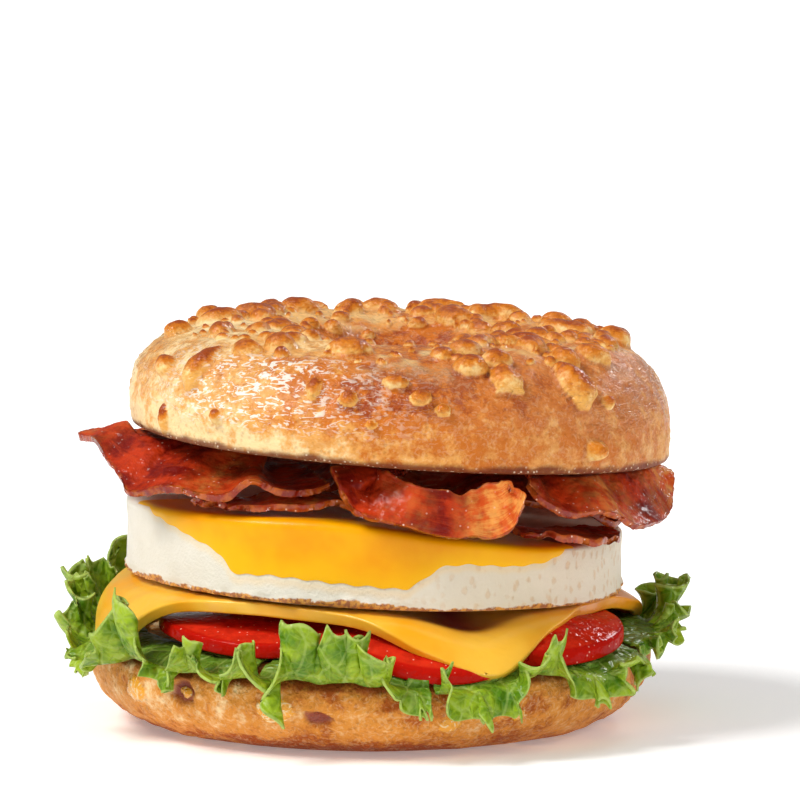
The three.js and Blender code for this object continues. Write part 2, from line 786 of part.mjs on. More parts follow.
function addFillings() {
  const eggSpace = toSolid(eggDisc(gap));
  const cheeseSpace = cheeseShape(gap);
  const heelSpace = toSolid(heelShape(gap));
  addPiece('cheese', cheeseShape(0).subtract(eggSpace), finishes.cheese);
  for (const [name, slice] of Object.entries(tomatoShapes(cheeseSpace))) {
    addPiece(name, slice, finishes.tomato);
  }
  const leafCutters = [heelSpace, cheeseSpace];
  for (const slice of Object.values(tomatoes)) {
    leafCutters.push(tomatoSlice({ ...slice, margin: gap }));
  }
  for (const [name, leaf] of Object.entries(leaves)) {
    const shape = leafCutters.reduce((rest, cutter) => rest.subtract(cutter), leafShape(leaf));
    addPiece(name, shape, finishes.lettuce);
  }
  for (const [name, rasher] of Object.entries(rasherShapes([eggSpace]))) {
    addPiece(name, rasher, finishes.bacon);
  }
}

addBagel();
addEgg();
addFillings();

// The origin is the middle of the underside of the whole sandwich's box
const bounds = new THREE.Box3().setFromObject(stack);
const middle = bounds.getCenter(new THREE.Vector3());
stack.position.set(-middle.x, -middle.y, -bounds.min.z);

const group = new THREE.Group();
group.add(stack);

export default group;
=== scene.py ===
import itertools
import math

import bpy
import numpy as np
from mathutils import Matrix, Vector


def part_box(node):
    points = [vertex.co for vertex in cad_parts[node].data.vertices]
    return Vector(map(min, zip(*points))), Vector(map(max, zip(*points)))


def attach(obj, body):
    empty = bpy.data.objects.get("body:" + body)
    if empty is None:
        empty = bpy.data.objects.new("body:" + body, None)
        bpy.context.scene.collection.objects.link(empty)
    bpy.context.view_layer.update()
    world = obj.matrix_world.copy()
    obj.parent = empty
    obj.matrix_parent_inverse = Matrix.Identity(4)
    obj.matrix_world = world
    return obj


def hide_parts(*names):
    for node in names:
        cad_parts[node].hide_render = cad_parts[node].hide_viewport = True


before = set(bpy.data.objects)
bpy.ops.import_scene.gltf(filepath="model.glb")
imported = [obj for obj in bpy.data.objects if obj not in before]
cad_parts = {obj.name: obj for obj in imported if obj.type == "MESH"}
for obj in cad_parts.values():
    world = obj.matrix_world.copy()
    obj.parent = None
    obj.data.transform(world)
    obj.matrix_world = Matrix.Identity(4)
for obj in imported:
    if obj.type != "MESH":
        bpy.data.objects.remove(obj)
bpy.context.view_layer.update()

# Lengths are in millimetres and angles in degrees until a piece's vertices are written in metres.
# Bearings round the sandwich are counted from its front, which faces -Y, and grow towards +X.
MM = 0.001
SEAM_ANGLE = math.radians(40)
BEVEL_ANGLE = math.radians(50)

# Room between one layer and the next
GAP = 0.3

# Lower half of the bagel
HEEL_RADIUS = 55
HEEL_HEIGHT = 17.5
HEEL_FOOT_WIDTH = 18
HEEL_WIDEST_HEIGHT = 14
HEEL_HOLE_RADIUS = 9.5
HEEL_SIDE_POWER = 2.2
HEEL_SWELL_PHASE = 0.7
HEEL_SPACING = 0.6
HEEL_STEPS = 480

# Upper half, which leans down to the right
CROWN_RADIUS = 53
CROWN_SHIFT_X = 5.8
CROWN_HEIGHT = 21.5
CROWN_CREST_RADIUS = 31
CROWN_HOLE_RADIUS = 9.5
CROWN_WIDEST_HEIGHT = 4.5
CROWN_BOTTOM_AT_AXIS = 54.9
CROWN_LEAN = -0.0726
CROWN_SWELL_PHASE = 2.1
CROWN_OUTER_POWER = 2.6
CROWN_INNER_POWER = 2.1
CROWN_SPACING = 0.45
CROWN_STEPS = 560

# Egg patty, thick on the left and thinner on the right
EGG_RADIUS = 48.2
EGG_SHIFT_X = 0.9
EGG_BOTTOM_AT_AXIS = 27.8
EGG_BOTTOM_LEAN = -0.0458
EGG_TOP_LEFT = 44.7
EGG_TOP_RIGHT = 37.6
EGG_TOP_FALL = (-14, 44)
EGG_STEPS = 420
YOLK_INNER_RADIUS = 22
YOLK_GAP = 0.02

# Square cheese slice whose corners hang over, with a tongue in front and a lobe on the left
CHEESE_SIDE = 93
CHEESE_THICKNESS = 2.6
CHEESE_CORNER_BEARING = 21.5
CHEESE_EDGE_POWER = 6
CHEESE_FOLD_RADIUS = 45.5
CHEESE_BEND_RADIUS = 10
CHEESE_STEEPEST = math.radians(52)
CHEESE_STEPS = 150
TONGUE_BEARING = 23
LOBE_BEARING = -65

# Tomato and lettuce
SLICE_EDGE = 0.7
SLICE_STEPS = 180
LEAF_ROOT_RADIUS = 44
LEAF_CLEARANCE = 0.9
LEAF_LYING_SHARE = 0.3
LEAF_THICKNESS = 0.45
LEAF_STEPS_A_DEGREE = 5.5
LEAF_STEPS_ACROSS = 50
TOOTH_DEPTH = 1.7

# Bacon, whose sheet is thinner than the room it takes up with its crinkles
RASHER_THICKNESS = 2.2
RASHER_SHEET = 1.15
RASHER_STEPS = (190, 56)


def clear_selection():
    if bpy.context.object and bpy.context.object.mode != "OBJECT":
        bpy.ops.object.mode_set(mode="OBJECT")
    bpy.ops.object.select_all(action="DESELECT")


def select_only(piece):
    clear_selection()
    piece.select_set(True)
    bpy.context.view_layer.objects.active = piece


def set_all(thing, settings):
    for key, value in settings.items():
        setattr(thing, key, value)


def named(name):
    """Names the object that the last operator added."""
    piece = bpy.context.active_object
    piece.name = name
    piece.data.name = name
    return piece


def read_rows(items, key, width=3):
    """Numbers kept with a mesh's items, a row for each item."""
    flat = np.empty(len(items) * width)
    items.foreach_get(key, flat)
    return flat.reshape(-1, width)


def places_of(piece):
    """Vertex places of a piece, in millimetres."""
    return read_rows(piece.data.vertices, "co") / MM


def put_places(piece, places):
    piece.data.vertices.foreach_set("co", (np.asarray(places) * MM).ravel())
    piece.data.update()


def normals_of(piece):
    return read_rows(piece.data.vertex_normals, "vector")


def paint(piece, **fields):
    """Keeps numbers for each vertex, which the materials read by name."""
    for name, values in fields.items():
        layer = piece.data.attributes.new(name, "FLOAT", "POINT")
        layer.data.foreach_set("value", np.asarray(values, dtype=np.float32))


def apply_modifier(piece, kind, **settings):
    select_only(piece)
    modifier = piece.modifiers.new(kind.lower(), kind)
    set_all(modifier, settings)
    bpy.ops.object.modifier_apply(modifier=modifier.name)


def round_edges(piece, width, segments):
    apply_modifier(piece, "BEVEL", width=width * MM, segments=segments, limit_method="ANGLE",
                   angle_limit=BEVEL_ANGLE)


def tidy_mesh(piece, merge_distance=0.002):
    """Merges doubles and points every face outwards."""
    select_only(piece)
    bpy.ops.object.mode_set(mode="EDIT")
    bpy.ops.mesh.select_all(action="SELECT")
    bpy.ops.mesh.remove_doubles(threshold=merge_distance * MM)
    bpy.ops.mesh.normals_make_consistent(inside=False)
    bpy.ops.object.mode_set(mode="OBJECT")


def cut(piece, tool, operation="DIFFERENCE"):
    """Cuts a piece with a tool, and removes the tool."""
    apply_modifier(piece, "BOOLEAN", object=tool, operation=operation, solver="MANIFOLD")
    bpy.data.objects.remove(tool)


def smooth_step(value, low, high):
    part = np.clip((value - low) / (high - low), 0, 1)
    return part * part * (3 - 2 * part)


def noise(places, size, seed=0):
    """Smooth random field between -1 and 1, with bumps about as wide as size."""
    cell = np.asarray(places, float) / size + 37.7 + 11.3 * seed
    base = np.floor(cell).astype(np.int64)
    part = cell - base
    part = part * part * (3 - 2 * part)
    total = np.zeros(len(cell))
    for corner in itertools.product((0, 1), repeat=3):
        key = (base + corner) * np.array([73856093, 19349663, 83492791]) + seed * 2654435761
        mixed = np.bitwise_xor.reduce(key, axis=1) & 0x7FFFFFFF
        mixed = (mixed * 48271 + 12345) & 0x7FFFFFFF
        mixed = ((mixed ^ (mixed >> 15)) * 69621) & 0x7FFFFFFF
        weight = np.prod(np.where(corner, part, 1 - part), axis=1)
        total += weight * ((mixed >> 8 & 0xFFFF) / 32767.5 - 1)
    return total


def rough_noise(places, size, seed=0, octaves=3):
    """Noise with finer noise on it."""
    return sum(noise(places, size / 2 ** step, seed + step) / 2 ** step for step in range(octaves))


def drawer(seed):
    """Seeded draws between 0 and 1."""
    state = seed
    while True:
        state = (state * 16807) % 2147483647
        yield state / 2147483647


def bearing_of(x, y):
    return np.degrees(np.arctan2(x, -y))


def polar(places):
    """Bearings and distances of places round the axis."""
    x, y = places[:, 0], places[:, 1]
    return bearing_of(x, y), np.hypot(x, y)


def round_the_axis(bearing, radius, height):
    turn = np.radians(bearing)
    return np.stack(np.broadcast_arrays(radius * np.sin(turn), -radius * np.cos(turn), height), axis=-1)


def near_bearing(bearing, centre, width):
    """A smooth window round a bearing, 1 at its centre."""
    turn = (bearing - centre + 180) % 360 - 180
    return np.exp(-((turn / width) ** 2))


def swell(bearing, phase):
    """Slow swelling of a bagel's rim round the axis."""
    turn = np.radians(bearing)
    return (1 + 0.012 * np.sin(2 * turn + phase) + 0.008 * np.sin(3 * turn + 2 * phase)
            + 0.004 * np.sin(7 * turn + 3 * phase))


def rim_sag(x, y):
    """How far layers sink over the heel's rounded edge, most of all in front."""
    past = np.maximum(0, np.hypot(x, y) - 45)
    front_share = 0.3 + 0.7 * np.maximum(0, np.cos(np.radians(bearing_of(x, y))))
    return 0.032 * front_share * past ** 2


def heel_top(x, y):
    grown = swell(bearing_of(x, y), HEEL_SWELL_PHASE)
    return HEEL_HEIGHT - rim_sag(x / grown, y / grown)


def egg_bottom(x):
    return EGG_BOTTOM_AT_AXIS + EGG_BOTTOM_LEAN * x


def egg_top(x):
    return EGG_TOP_LEFT + (EGG_TOP_RIGHT - EGG_TOP_LEFT) * smooth_step(x, *EGG_TOP_FALL)


def crown_bottom(x):
    return CROWN_BOTTOM_AT_AXIS + CROWN_LEAN * (x - CROWN_SHIFT_X)


def quarter_round(centre, reach, rise, power, steps):
    """Quarter of a superellipse, from the widest place to the summit."""
    turn = np.linspace(0, math.pi / 2, steps + 1)
    out = np.clip(np.cos(turn), 0, 1) ** (2 / power)
    up = np.sin(turn) ** (2 / power)
    return np.stack([centre[0] + reach * out, centre[1] + rise * up], axis=1)


def evenly_spaced(outline, spacing):
    """The same open outline with points a fixed distance apart."""
    outline = np.asarray(outline, float)
    steps = np.hypot(*np.diff(outline, axis=0).T)
    run = np.concatenate([[0], np.cumsum(steps)])
    stations = np.linspace(0, run[-1], max(2, round(run[-1] / spacing)) + 1)
    return np.stack([np.interp(stations, run, part) for part in outline.T], axis=1)


def spun(name, outline, steps):
    """A closed ring or disc from an outline of [radius, height] points spun round the axis."""
    clear_selection()
    bpy.ops.mesh.primitive_circle_add(vertices=len(outline), radius=MM)
    piece = named(name)
    put_places(piece, np.stack([outline[:, 0], np.zeros(len(outline)), outline[:, 1]], axis=1))
    bpy.ops.object.mode_set(mode="EDIT")
    bpy.ops.mesh.select_all(action="SELECT")
    bpy.ops.mesh.spin(steps=steps, angle=2 * math.pi, center=(0, 0, 0), axis=(0, 0, 1))
    bpy.ops.object.mode_set(mode="OBJECT")
    tidy_mesh(piece)
    return piece


def sheet(name, along_steps, across_steps, places, thickness, offset=0):
    """A closed thin solid round a middle surface given over along and across shares."""
    clear_selection()
    bpy.ops.mesh.primitive_grid_add(x_subdivisions=along_steps, y_subdivisions=across_steps, size=1)
    piece = named(name)
    shares = read_rows(piece.data.vertices, "co") + 0.5
    put_places(piece, places(shares[:, 0], shares[:, 1]))
    apply_modifier(piece, "SOLIDIFY", thickness=thickness * MM, offset=offset)
    return piece


def tube(name, rings):
    """A closed skin over a row of rings with equally many corners."""
    clear_selection()
    bpy.ops.mesh.primitive_cylinder_add(vertices=4, radius=MM, depth=MM)
    piece = named(name)
    count, sides, _ = rings.shape
    faces = []
    for ring, side in itertools.product(range(count - 1), range(sides)):
        first = ring * sides
        second = first + sides
        ahead = (side + 1) % sides
        faces.append([first + side, first + ahead, second + ahead, second + side])
    faces.append(list(range(sides)))
    faces.append([(count - 1) * sides + side for side in reversed(range(sides))])
    piece.data.clear_geometry()
    piece.data.from_pydata((rings.reshape(-1, 3) * MM).tolist(), [], faces)
    tidy_mesh(piece, 0.001)
    return piece


def frame_axis():
    """Where the bagel's axis stands in the frame, from the heel's box and its swollen rim."""
    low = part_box("heel")[0] / MM
    bearings = np.arange(0, 360, 9)
    rim = round_the_axis(bearings, HEEL_RADIUS * swell(bearings, HEEL_SWELL_PHASE), 0)
    return np.array([low.x - rim[:, 0].min(), low.y - rim[:, 1].min(), 0])


def finish_piece(piece, material, node, seams=False):
    """Moves a piece into the frame, gives it its material, shades it smooth with its seams sharp when asked,
    attaches it to the root and hides the part of its node.
    """
    put_places(piece, places_of(piece) + AXIS)
    piece.data.materials.clear()
    piece.data.materials.append(material)
    select_only(piece)
    bpy.ops.object.shade_smooth()
    if seams:
        bpy.ops.object.shade_smooth_by_angle(angle=SEAM_ANGLE)
    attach(piece, "root")
    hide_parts(node)


def crown_outline():
    """Outline of the crown's ring, evenly spaced over the crust and coarse on the cut underside."""
    centre = (CROWN_CREST_RADIUS, CROWN_WIDEST_HEIGHT)
    rise = CROWN_HEIGHT - CROWN_WIDEST_HEIGHT
    outer = quarter_round(centre, CROWN_RADIUS - CROWN_CREST_RADIUS, rise, CROWN_OUTER_POWER, 400)
    inner = quarter_round(centre, CROWN_HOLE_RADIUS - CROWN_CREST_RADIUS, rise, CROWN_INNER_POWER, 400)
    hole_foot = [CROWN_HOLE_RADIUS + 0.8, 0]
    rim_foot = [CROWN_RADIUS - 1.5, 0]
    cut_edge = [rim_foot, [CROWN_RADIUS - 0.7, 0.35], [CROWN_RADIUS - 0.3, 1.4]]
    crust = np.concatenate([cut_edge, outer, inner[::-1][1:], [hole_foot]])
    underside = evenly_spaced([hole_foot, rim_foot], 3)[1:-1]
    return np.concatenate([evenly_spaced(crust, CROWN_SPACING), underside])


def crown_crust(radius):
    """Height of the crust above the crown's level base at a distance from its axis."""
    outside = radius > CROWN_CREST_RADIUS
    reach = np.where(outside, CROWN_RADIUS - CROWN_CREST_RADIUS, CROWN_CREST_RADIUS - CROWN_HOLE_RADIUS)
    power = np.where(outside, CROWN_OUTER_POWER, CROWN_INNER_POWER)
    out = np.clip(np.abs(radius - CROWN_CREST_RADIUS) / reach, 0, 1)
    return CROWN_WIDEST_HEIGHT + (CROWN_HEIGHT - CROWN_WIDEST_HEIGHT) * (1 - out ** power) ** (1 / power)


# Baked cheese on the crown's crust, as [bearing, height, width, length down the side]
SIDE_BITS = [
    [-57, 4.2, 2.2, 7],
    [-40, 7, 2.6, 3.4],
    [-18.5, 14.5, 2.6, 4.6],
    [-11, 13.2, 3.2, 3.2],
    [-6, 8.5, 2, 1.8],
    [-1, 16.4, 4.6, 2.8],
    [4, 14, 4.4, 3.2],
    [8.5, 12, 3, 2.8],
    [44, 4, 5, 3.4],
    [50, 13, 2.6, 2.6],
    [-110, 8, 4, 3],
    [120, 9, 5, 4],
    [165, 10, 4, 5],
    [-150, 7, 3, 6],
]


def side_nubs():
    """Bits of cheese on the crown's side, as nubs on its plan."""
    distances = np.linspace(CROWN_RADIUS, CROWN_CREST_RADIUS, 400)
    crust = crown_crust(distances)
    nubs = []
    for bearing, height, width, length in SIDE_BITS:
        x, y, _height = round_the_axis(bearing, float(np.interp(height, crust, distances)), 0)
        nubs.append([x, y, length, width, bearing - 90])
    return nubs


# Nubs strewn at random: how many, then the least and the spread of their bearings, distances from the axis,
# lengths, and widths as shares of the lengths. A power crowds the distances or the lengths.
SMALL_NUBS = dict(seed=4127, count=12, bearings=(40, 250), distances=(17, 27, 1), lengths=(3, 2.2, 1),
                  widths=(0.8, 0))

CREST_NUBS = dict(seed=771, count=95, bearings=(28, 304), distances=(19, 25, 1), lengths=(3.4, 3.6, 1.5),
                  widths=(0.55, 0.35))

CRUMB_NUBS = dict(seed=90210, count=150, bearings=(0, 360), distances=(16, 28, 0.8), lengths=(1.4, 1.8, 2),
                  widths=(0.6, 0.3))


def strewn_nubs(seed, count, bearings, distances, lengths, widths):
    draw = drawer(seed)
    nubs = []
    for _ in range(count):
        bearing = bearings[0] + bearings[1] * next(draw)
        distance = distances[0] + distances[1] * next(draw) ** distances[2]
        length = lengths[0] + lengths[1] * next(draw) ** lengths[2]
        width = length * (widths[0] + widths[1] * next(draw) if widths[1] else widths[0])
        x, y, _height = round_the_axis(bearing, distance, 0)
        nubs.append([x, y, length, width, 180 * next(draw)])
    return nubs


# Baked cheese on the crown, as [x, y, length, width, turn] on its plan
LARGE_NUBS = [
    [-37.2, -32.3, 11.5, 5, 38],
    [-44.5, -23.5, 6, 4.4, 70],
    [-43.5, -3, 5, 4.5, 0],
    [-35, 3, 8.5, 5.5, 20],
    [-29, 12, 9, 6, -15],
    [-20, 25, 8.5, 5.5, 10],
    [-9.5, 30, 5.5, 5, 0],
    [-4, 35, 7.5, 4.5, 5],
    [8, 34, 8.5, 5, -10],
    [10, 23, 6.5, 6, 30],
    [20, 27, 11.5, 5.5, -10],
    [31, 20, 6.5, 4.5, -20],
    [42, 1, 7.5, 6, 60],
    [25.2, -27, 6.5, 5.5, 20],
    [36.5, -24, 6.5, 5.5, 10],
    [31, -30.5, 6.5, 5.5, -30],
    [26, -12, 6, 5, 20],
    [32, 3, 12, 5, -15],
    [12.2, -35.5, 6, 5.2, 0],
    [13, -43, 6.6, 5.6, 15],
    [17.6, -38.8, 6.4, 5.4, 40],
    [19.4, -43.8, 7.6, 5.6, -60],
    [7.8, -39, 4.2, 3.6, 15],
    [32.8, -37, 9.5, 7, -35],
    [-9.6, -37.5, 8, 5.6, 0],
]


def nub_axes(x, y, turn):
    """Centre, outward normal and two level ways of a nub on the crust."""
    radius = math.hypot(x, y)
    step = 0.2
    slope = float(crown_crust(np.array(radius + step)) - crown_crust(np.array(radius - step))) / (2 * step)
    outward = np.array([x, y, 0]) / radius
    normal = np.array([0, 0, 1]) - slope * outward
    normal = normal / np.linalg.norm(normal)
    way = np.array([math.cos(math.radians(turn)), math.sin(math.radians(turn)), 0])
    way = way - normal * way.dot(normal)
    way = way / np.linalg.norm(way)
    centre = np.array([x, y, float(crown_crust(np.array(radius)))])
    return centre, normal, way, np.cross(normal, way)


def raise_nubs(places, nubs):
    """Height of the nubs over the crust, how high each place is on its nub, and how far it faces up there."""
    height = np.zeros(len(places))
    share = np.zeros(len(places))
    upper = np.zeros(len(places))
    ruffled = 0.24 * noise(places, 2.6, 5) + 0.12 * noise(places, 1.2, 6)
    for x, y, length, width, turn in nubs:
        centre, normal, way, side = nub_axes(x, y, turn)
        near = np.nonzero(np.linalg.norm(places - centre, axis=1) < length)[0]
        offset = places[near] - centre
        reach = np.hypot(offset @ way / (length / 2), offset @ side / (width / 2)) * (1 + ruffled[near])
        rise = np.sqrt(np.clip(1.08 - reach ** 2, 0, 1))
        tall = (0.42 * width + 0.4) * rise
        higher = tall > height[near]
        spot = near[higher]
        height[spot] = tall[higher]
        share[spot] = rise[higher]
        upper[spot] = (offset[higher, 2] + 0.6 * tall[higher] * normal[2]) / (0.5 * width)
    return height, share, upper


# How far the crust is baked at bearings round the crown, from pale to brown; the pale left is partly painted
# light, where the key light falls
CROWN_BAKE_AND_SHADE = [[-180, 0.5], [-130, 0.42], [-95, 0.2], [-60, 0.12], [-38, 0.22], [-20, 0.45], [0, 0.66],
              [25, 0.66], [60, 0.6], [90, 0.42], [130, 0.48], [180, 0.5]]


def crown_bake(places):
    """How far the crust is baked, with painted light paling its left side: most on the glazed shoulder in
    front and in the hole.
    """
    bearing, radius = polar(places)
    high = places[:, 2] / CROWN_HEIGHT
    bearings, shares = np.array(CROWN_BAKE_AND_SHADE).T
    bake = np.interp(bearing, bearings, shares)
    glazed = smooth_step(high, 0.3, 0.7) * (1 - smooth_step(high, 0.88, 1))
    front = np.maximum(0, np.cos(np.radians(bearing - 5)))
    bake = bake + 0.26 * glazed * (0.3 + 0.7 * front) - 0.12 * (1 - smooth_step(high, 0.1, 0.35))
    patch = near_bearing(bearing, -6, 7) * (1 - smooth_step(np.abs(high - 0.62), 0.1, 0.3))
    hole = 1 - smooth_step(radius, CROWN_HOLE_RADIUS + 3, CROWN_CREST_RADIUS - 5)
    back_wall = np.clip(-np.cos(np.radians(bearing + 15)), -0.6, 1)
    bake = bake * (1 - hole) + hole * (0.8 + 0.3 * back_wall)
    even = 1 - 0.6 * near_bearing(bearing, 45, 35)
    return bake + 0.25 * patch + even * (0.15 * noise(places, 13, 8) + 0.16 * noise(places, 5, 9))


def place_on_crown(places):
    """The base of the crown follows its lean, while its crest stays almost level."""
    x, y, z = places.T
    grown = swell(bearing_of(x, y), CROWN_SWELL_PHASE)
    share = np.clip(z / CROWN_HEIGHT, 0, 1)
    lean = CROWN_LEAN * x * (1 - 0.55 * share)
    back_rise = 0.022 * y * share
    height = z + CROWN_BOTTOM_AT_AXIS + lean + back_rise
    return np.stack([CROWN_SHIFT_X + x * grown, y * grown, height], axis=1)


def crust_relief(places, crest, outside, rim):
    """Swells, wrinkles and fine crackle of the crown's crust, ragged at its cut edge."""
    wrinkled = np.abs(noise(places * [1, 1, 1.8], 3.2, 3))
    crackled = (np.abs(noise(places * [0.5, 0.5, 1.5], 1.5, 16))
                + 0.5 * np.abs(noise(places * [0.6, 0.6, 1.6], 0.9, 17)))
    ragged = rim * np.abs(noise(places, 1.3, 14))
    return (0.55 * noise(places, 11, 1) + (0.12 + 0.3 * crest) * rough_noise(places, 3.4, 2)
            - 0.3 * (1 - crest) * wrinkled + 0.3 * ragged - 0.22 * outside * crackled)


def cheese_film(places, radius):
    """Patches of melted cheese between the nubs on the crest."""
    patches = noise(places, 6, 11) + 0.6 * noise(places, 2.6, 12)
    return smooth_step(radius, 16, 23) * smooth_step(patches, 0.0, 0.5)


def painted_crown_highlights(bearing, high):
    """Where highlights are painted on the glaze: left of the front, and in a streak on the right."""
    lit = near_bearing(bearing, -34, 26) * smooth_step(high, 0.15, 0.4) * (1 - smooth_step(high, 0.86, 0.98))
    return np.maximum(lit, 0.35 * near_bearing(bearing, 84, 9) * smooth_step(high, 0.25, 0.5))


def make_crown():
    piece = spun("crown_crust", crown_outline(), CROWN_STEPS)
    places = places_of(piece)
    bearing, radius = polar(places)
    high = places[:, 2] / CROWN_HEIGHT
    nubs = [*LARGE_NUBS, *strewn_nubs(**SMALL_NUBS), *strewn_nubs(**CREST_NUBS), *side_nubs(),
            *strewn_nubs(**CRUMB_NUBS)]
    height, share, upper = raise_nubs(places, nubs)
    crest = 1 - smooth_step(np.abs(radius - CROWN_CREST_RADIUS), 8, 20)
    outside = smooth_step(radius, CROWN_CREST_RADIUS + 2, CROWN_CREST_RADIUS + 8)
    rim = 1 - smooth_step(places[:, 2] + 0.6 * noise(places, 3, 13), 0.7, 1.9)
    glazed = smooth_step(high + 0.08 * noise(places, 5, 15), 0.3, 0.6)
    crust = smooth_step(places[:, 2], 0.1, 1.2)
    lift = crust * (height + crust_relief(places, crest, outside, rim) * (1 - 0.6 * share))
    # lit marks where white highlights are painted on the crust, off the nubs and outside the crest.
    paint(piece, bake=np.clip(crown_bake(places), 0, 1), nub=share,
          upper=np.clip(0.5 * upper + 0.5 * share, -1, 1.5),
          film=crest * cheese_film(places, radius) * (1 - share), rim=rim,
          glaze=np.clip(0.15 + 0.65 * glazed, 0, 1), blush=outside * near_bearing(bearing, 52, 34),
          lit=painted_crown_highlights(bearing, high) * outside * (1 - smooth_step(share, 0.1, 0.4)))
    put_places(piece, place_on_crown(places + normals_of(piece) * lift[:, None]))
    finish_piece(piece, crust_material("crown crust"), "crown")


# Pits, and bits of cheese with a depth below 0, on the heel's side, as [bearing, height, width, depth]
HEEL_MARKS = [
    [-55, 11.2, 6.5, -1.1],
    [-41, 13, 6.4, 1.7],
    [-40.6, 12.6, 3.4, -1.6],
    [-19, 10.6, 7.5, -0.9],
    [-10.5, 8.6, 5.4, 1.3],
    [16, 6.8, 5.2, -0.9],
    [31, 8, 3, -0.6],
    [120, 9, 4.6, 1.2],
    [150, 12, 4, -0.8],
    [165, 7, 6, -0.9],
    [-140, 7, 4.6, 1.2],
    [-110, 6, 5, -0.8],
]


def heel_outline():
    """Outline of the heel's ring, finest down the crust and coarser on the cut and the foot."""
    foot_radius = HEEL_RADIUS - HEEL_FOOT_WIDTH
    rim_top = [HEEL_RADIUS - 1.6, HEEL_HEIGHT]
    hole_top = [HEEL_HOLE_RADIUS + 1.2, HEEL_HEIGHT]
    hole_foot = [HEEL_HOLE_RADIUS + 5, 0]
    side = quarter_round((foot_radius, HEEL_WIDEST_HEIGHT), HEEL_FOOT_WIDTH, -HEEL_WIDEST_HEIGHT,
                         HEEL_SIDE_POWER, 300)
    cut_edge = [[HEEL_RADIUS - 0.15, HEEL_HEIGHT - 1.2], [HEEL_RADIUS - 0.6, HEEL_HEIGHT - 0.4], rim_top]
    hole = [hole_top, [HEEL_HOLE_RADIUS, HEEL_HEIGHT - 2], [HEEL_HOLE_RADIUS + 0.6, HEEL_HEIGHT / 3],
            hole_foot]
    runs = [(np.concatenate([side[::-1], cut_edge]), HEEL_SPACING), ([rim_top, hole_top], 1.5), (hole, 1),
            ([hole_foot, [foot_radius, 0]], 3)]
    return np.concatenate([evenly_spaced(run, spacing)[:-1] for run, spacing in runs])


def heel_side(bearing, height):
    """Radius of the heel's side at a height."""
    depth = np.clip(1 - height / HEEL_WIDEST_HEIGHT, 0, 1)
    inward = 1 - (1 - depth ** HEEL_SIDE_POWER) ** (1 / HEEL_SIDE_POWER)
    return (HEEL_RADIUS - HEEL_FOOT_WIDTH * inward) * swell(bearing, HEEL_SWELL_PHASE)


def heel_marks(places):
    """Depth of the pits and bits on the heel, and how far each place lies in a pit or on a bit."""
    sunk = np.zeros(len(places))
    pit = np.zeros(len(places))
    bit = np.zeros(len(places))
    for bearing, height, width, depth in HEEL_MARKS:
        centre = round_the_axis(bearing, heel_side(bearing, height), height)
        reach = np.linalg.norm(places - centre, axis=1) / (width / 2) * (1 + 0.25 * noise(places, 1.6, 23))
        round_mark = np.clip(1 - reach ** 2, 0, 1) ** 0.6
        sunk += depth * round_mark
        pit = np.maximum(pit, round_mark * (depth > 0))
        bit = np.maximum(bit, round_mark * (depth < 0))
    return sunk, pit, bit


def make_heel():
    piece = spun("heel_crust", heel_outline(), HEEL_STEPS)
    places = places_of(piece)
    x, y, z = places.T
    bearing, radius = polar(places)
    side = smooth_step(radius, HEEL_RADIUS - HEEL_FOOT_WIDTH, HEEL_RADIUS - 8) * smooth_step(z, 0, 1)
    cracked = np.abs(noise(places * [1, 1, 2], 3.4, 26))
    sunk, pit, bit = heel_marks(places)
    swells = 0.35 * noise(places, 9, 21) + 0.16 * rough_noise(places, 2.6, 22)
    lift = side * (swells - 0.3 * (1 - cracked) ** 6) - sunk
    # Painted shade: the crust is made browner on the side away from the key light, from the front round by
    # the right.
    shadier = 0.12 * smooth_step(np.abs(bearing + 150), 90, 150)
    browned = 0.35 * (1 - smooth_step(z + noise(places, 4, 27), 0, 6))
    bake = 0.45 + shadier + browned + 0.22 * noise(places, 9, 24) + 0.16 * noise(places, 3.4, 25)
    paint(piece, bake=np.clip(bake, 0, 1), pit=pit, nub=bit,
          rim=smooth_step(z, HEEL_HEIGHT - 2.2, HEEL_HEIGHT - 0.6) * (radius > HEEL_RADIUS - 6))
    moved = places + normals_of(piece) * lift[:, None]
    moved[:, 2] = np.maximum(moved[:, 2] - (z / HEEL_HEIGHT) ** 2 * rim_sag(x, y), 0)
    moved[:, :2] *= swell(bearing, HEEL_SWELL_PHASE)[:, None]
    put_places(piece, moved)
    finish_piece(piece, heel_material("heel crust"), "heel")


def egg_outline():
    """Outline of the patty, with heights as shares of its thickness."""
    side = [[2.5, 0], [0.5, 0.03], [0, 0.12], [0.15, 0.4], [0.25, 0.65], [0, 0.9], [0.2, 0.955], [0.9, 0.99],
            [1.8, 1]]
    tall = 15
    scaled = np.array([[EGG_RADIUS - inward, height * tall] for inward, height in side])
    low = [[0, 0], [EGG_RADIUS - 2.5, 0]]
    high = [[EGG_RADIUS - 1.8, 1], [0, 0.985]]
    return np.concatenate([evenly_spaced(low, 2.5)[:-1], evenly_spaced(scaled, 0.5) / [1, tall],
                           evenly_spaced(high, 1.5)[1:]])


def make_egg_disc(name):
    piece = spun(name, egg_outline(), EGG_STEPS)
    places = places_of(piece)
    bearing = np.radians(polar(places)[0])
    grown = 1 + 0.004 * np.sin(3 * bearing + 1) + 0.003 * np.sin(8 * bearing)
    x = EGG_SHIFT_X + places[:, 0] * grown
    low, high = egg_bottom(x), egg_top(x)
    put_places(piece, np.stack([x, places[:, 1] * grown, low + (high - low) * places[:, 2]], axis=1))
    return piece


# Lower edge of the yolk on the patty's side, as [bearing, share of the depth from the top]
YOLK_EDGE = [[-72, -0.1], [-62, 0.12], [-50, 0.3], [-38, 0.5], [-34, 0.77], [-24, 0.73], [-8, 0.77],
             [8, 0.78], [14, 0.45], [20, 0.37], [34, 0.36], [44, 0.26], [52, -0.1]]


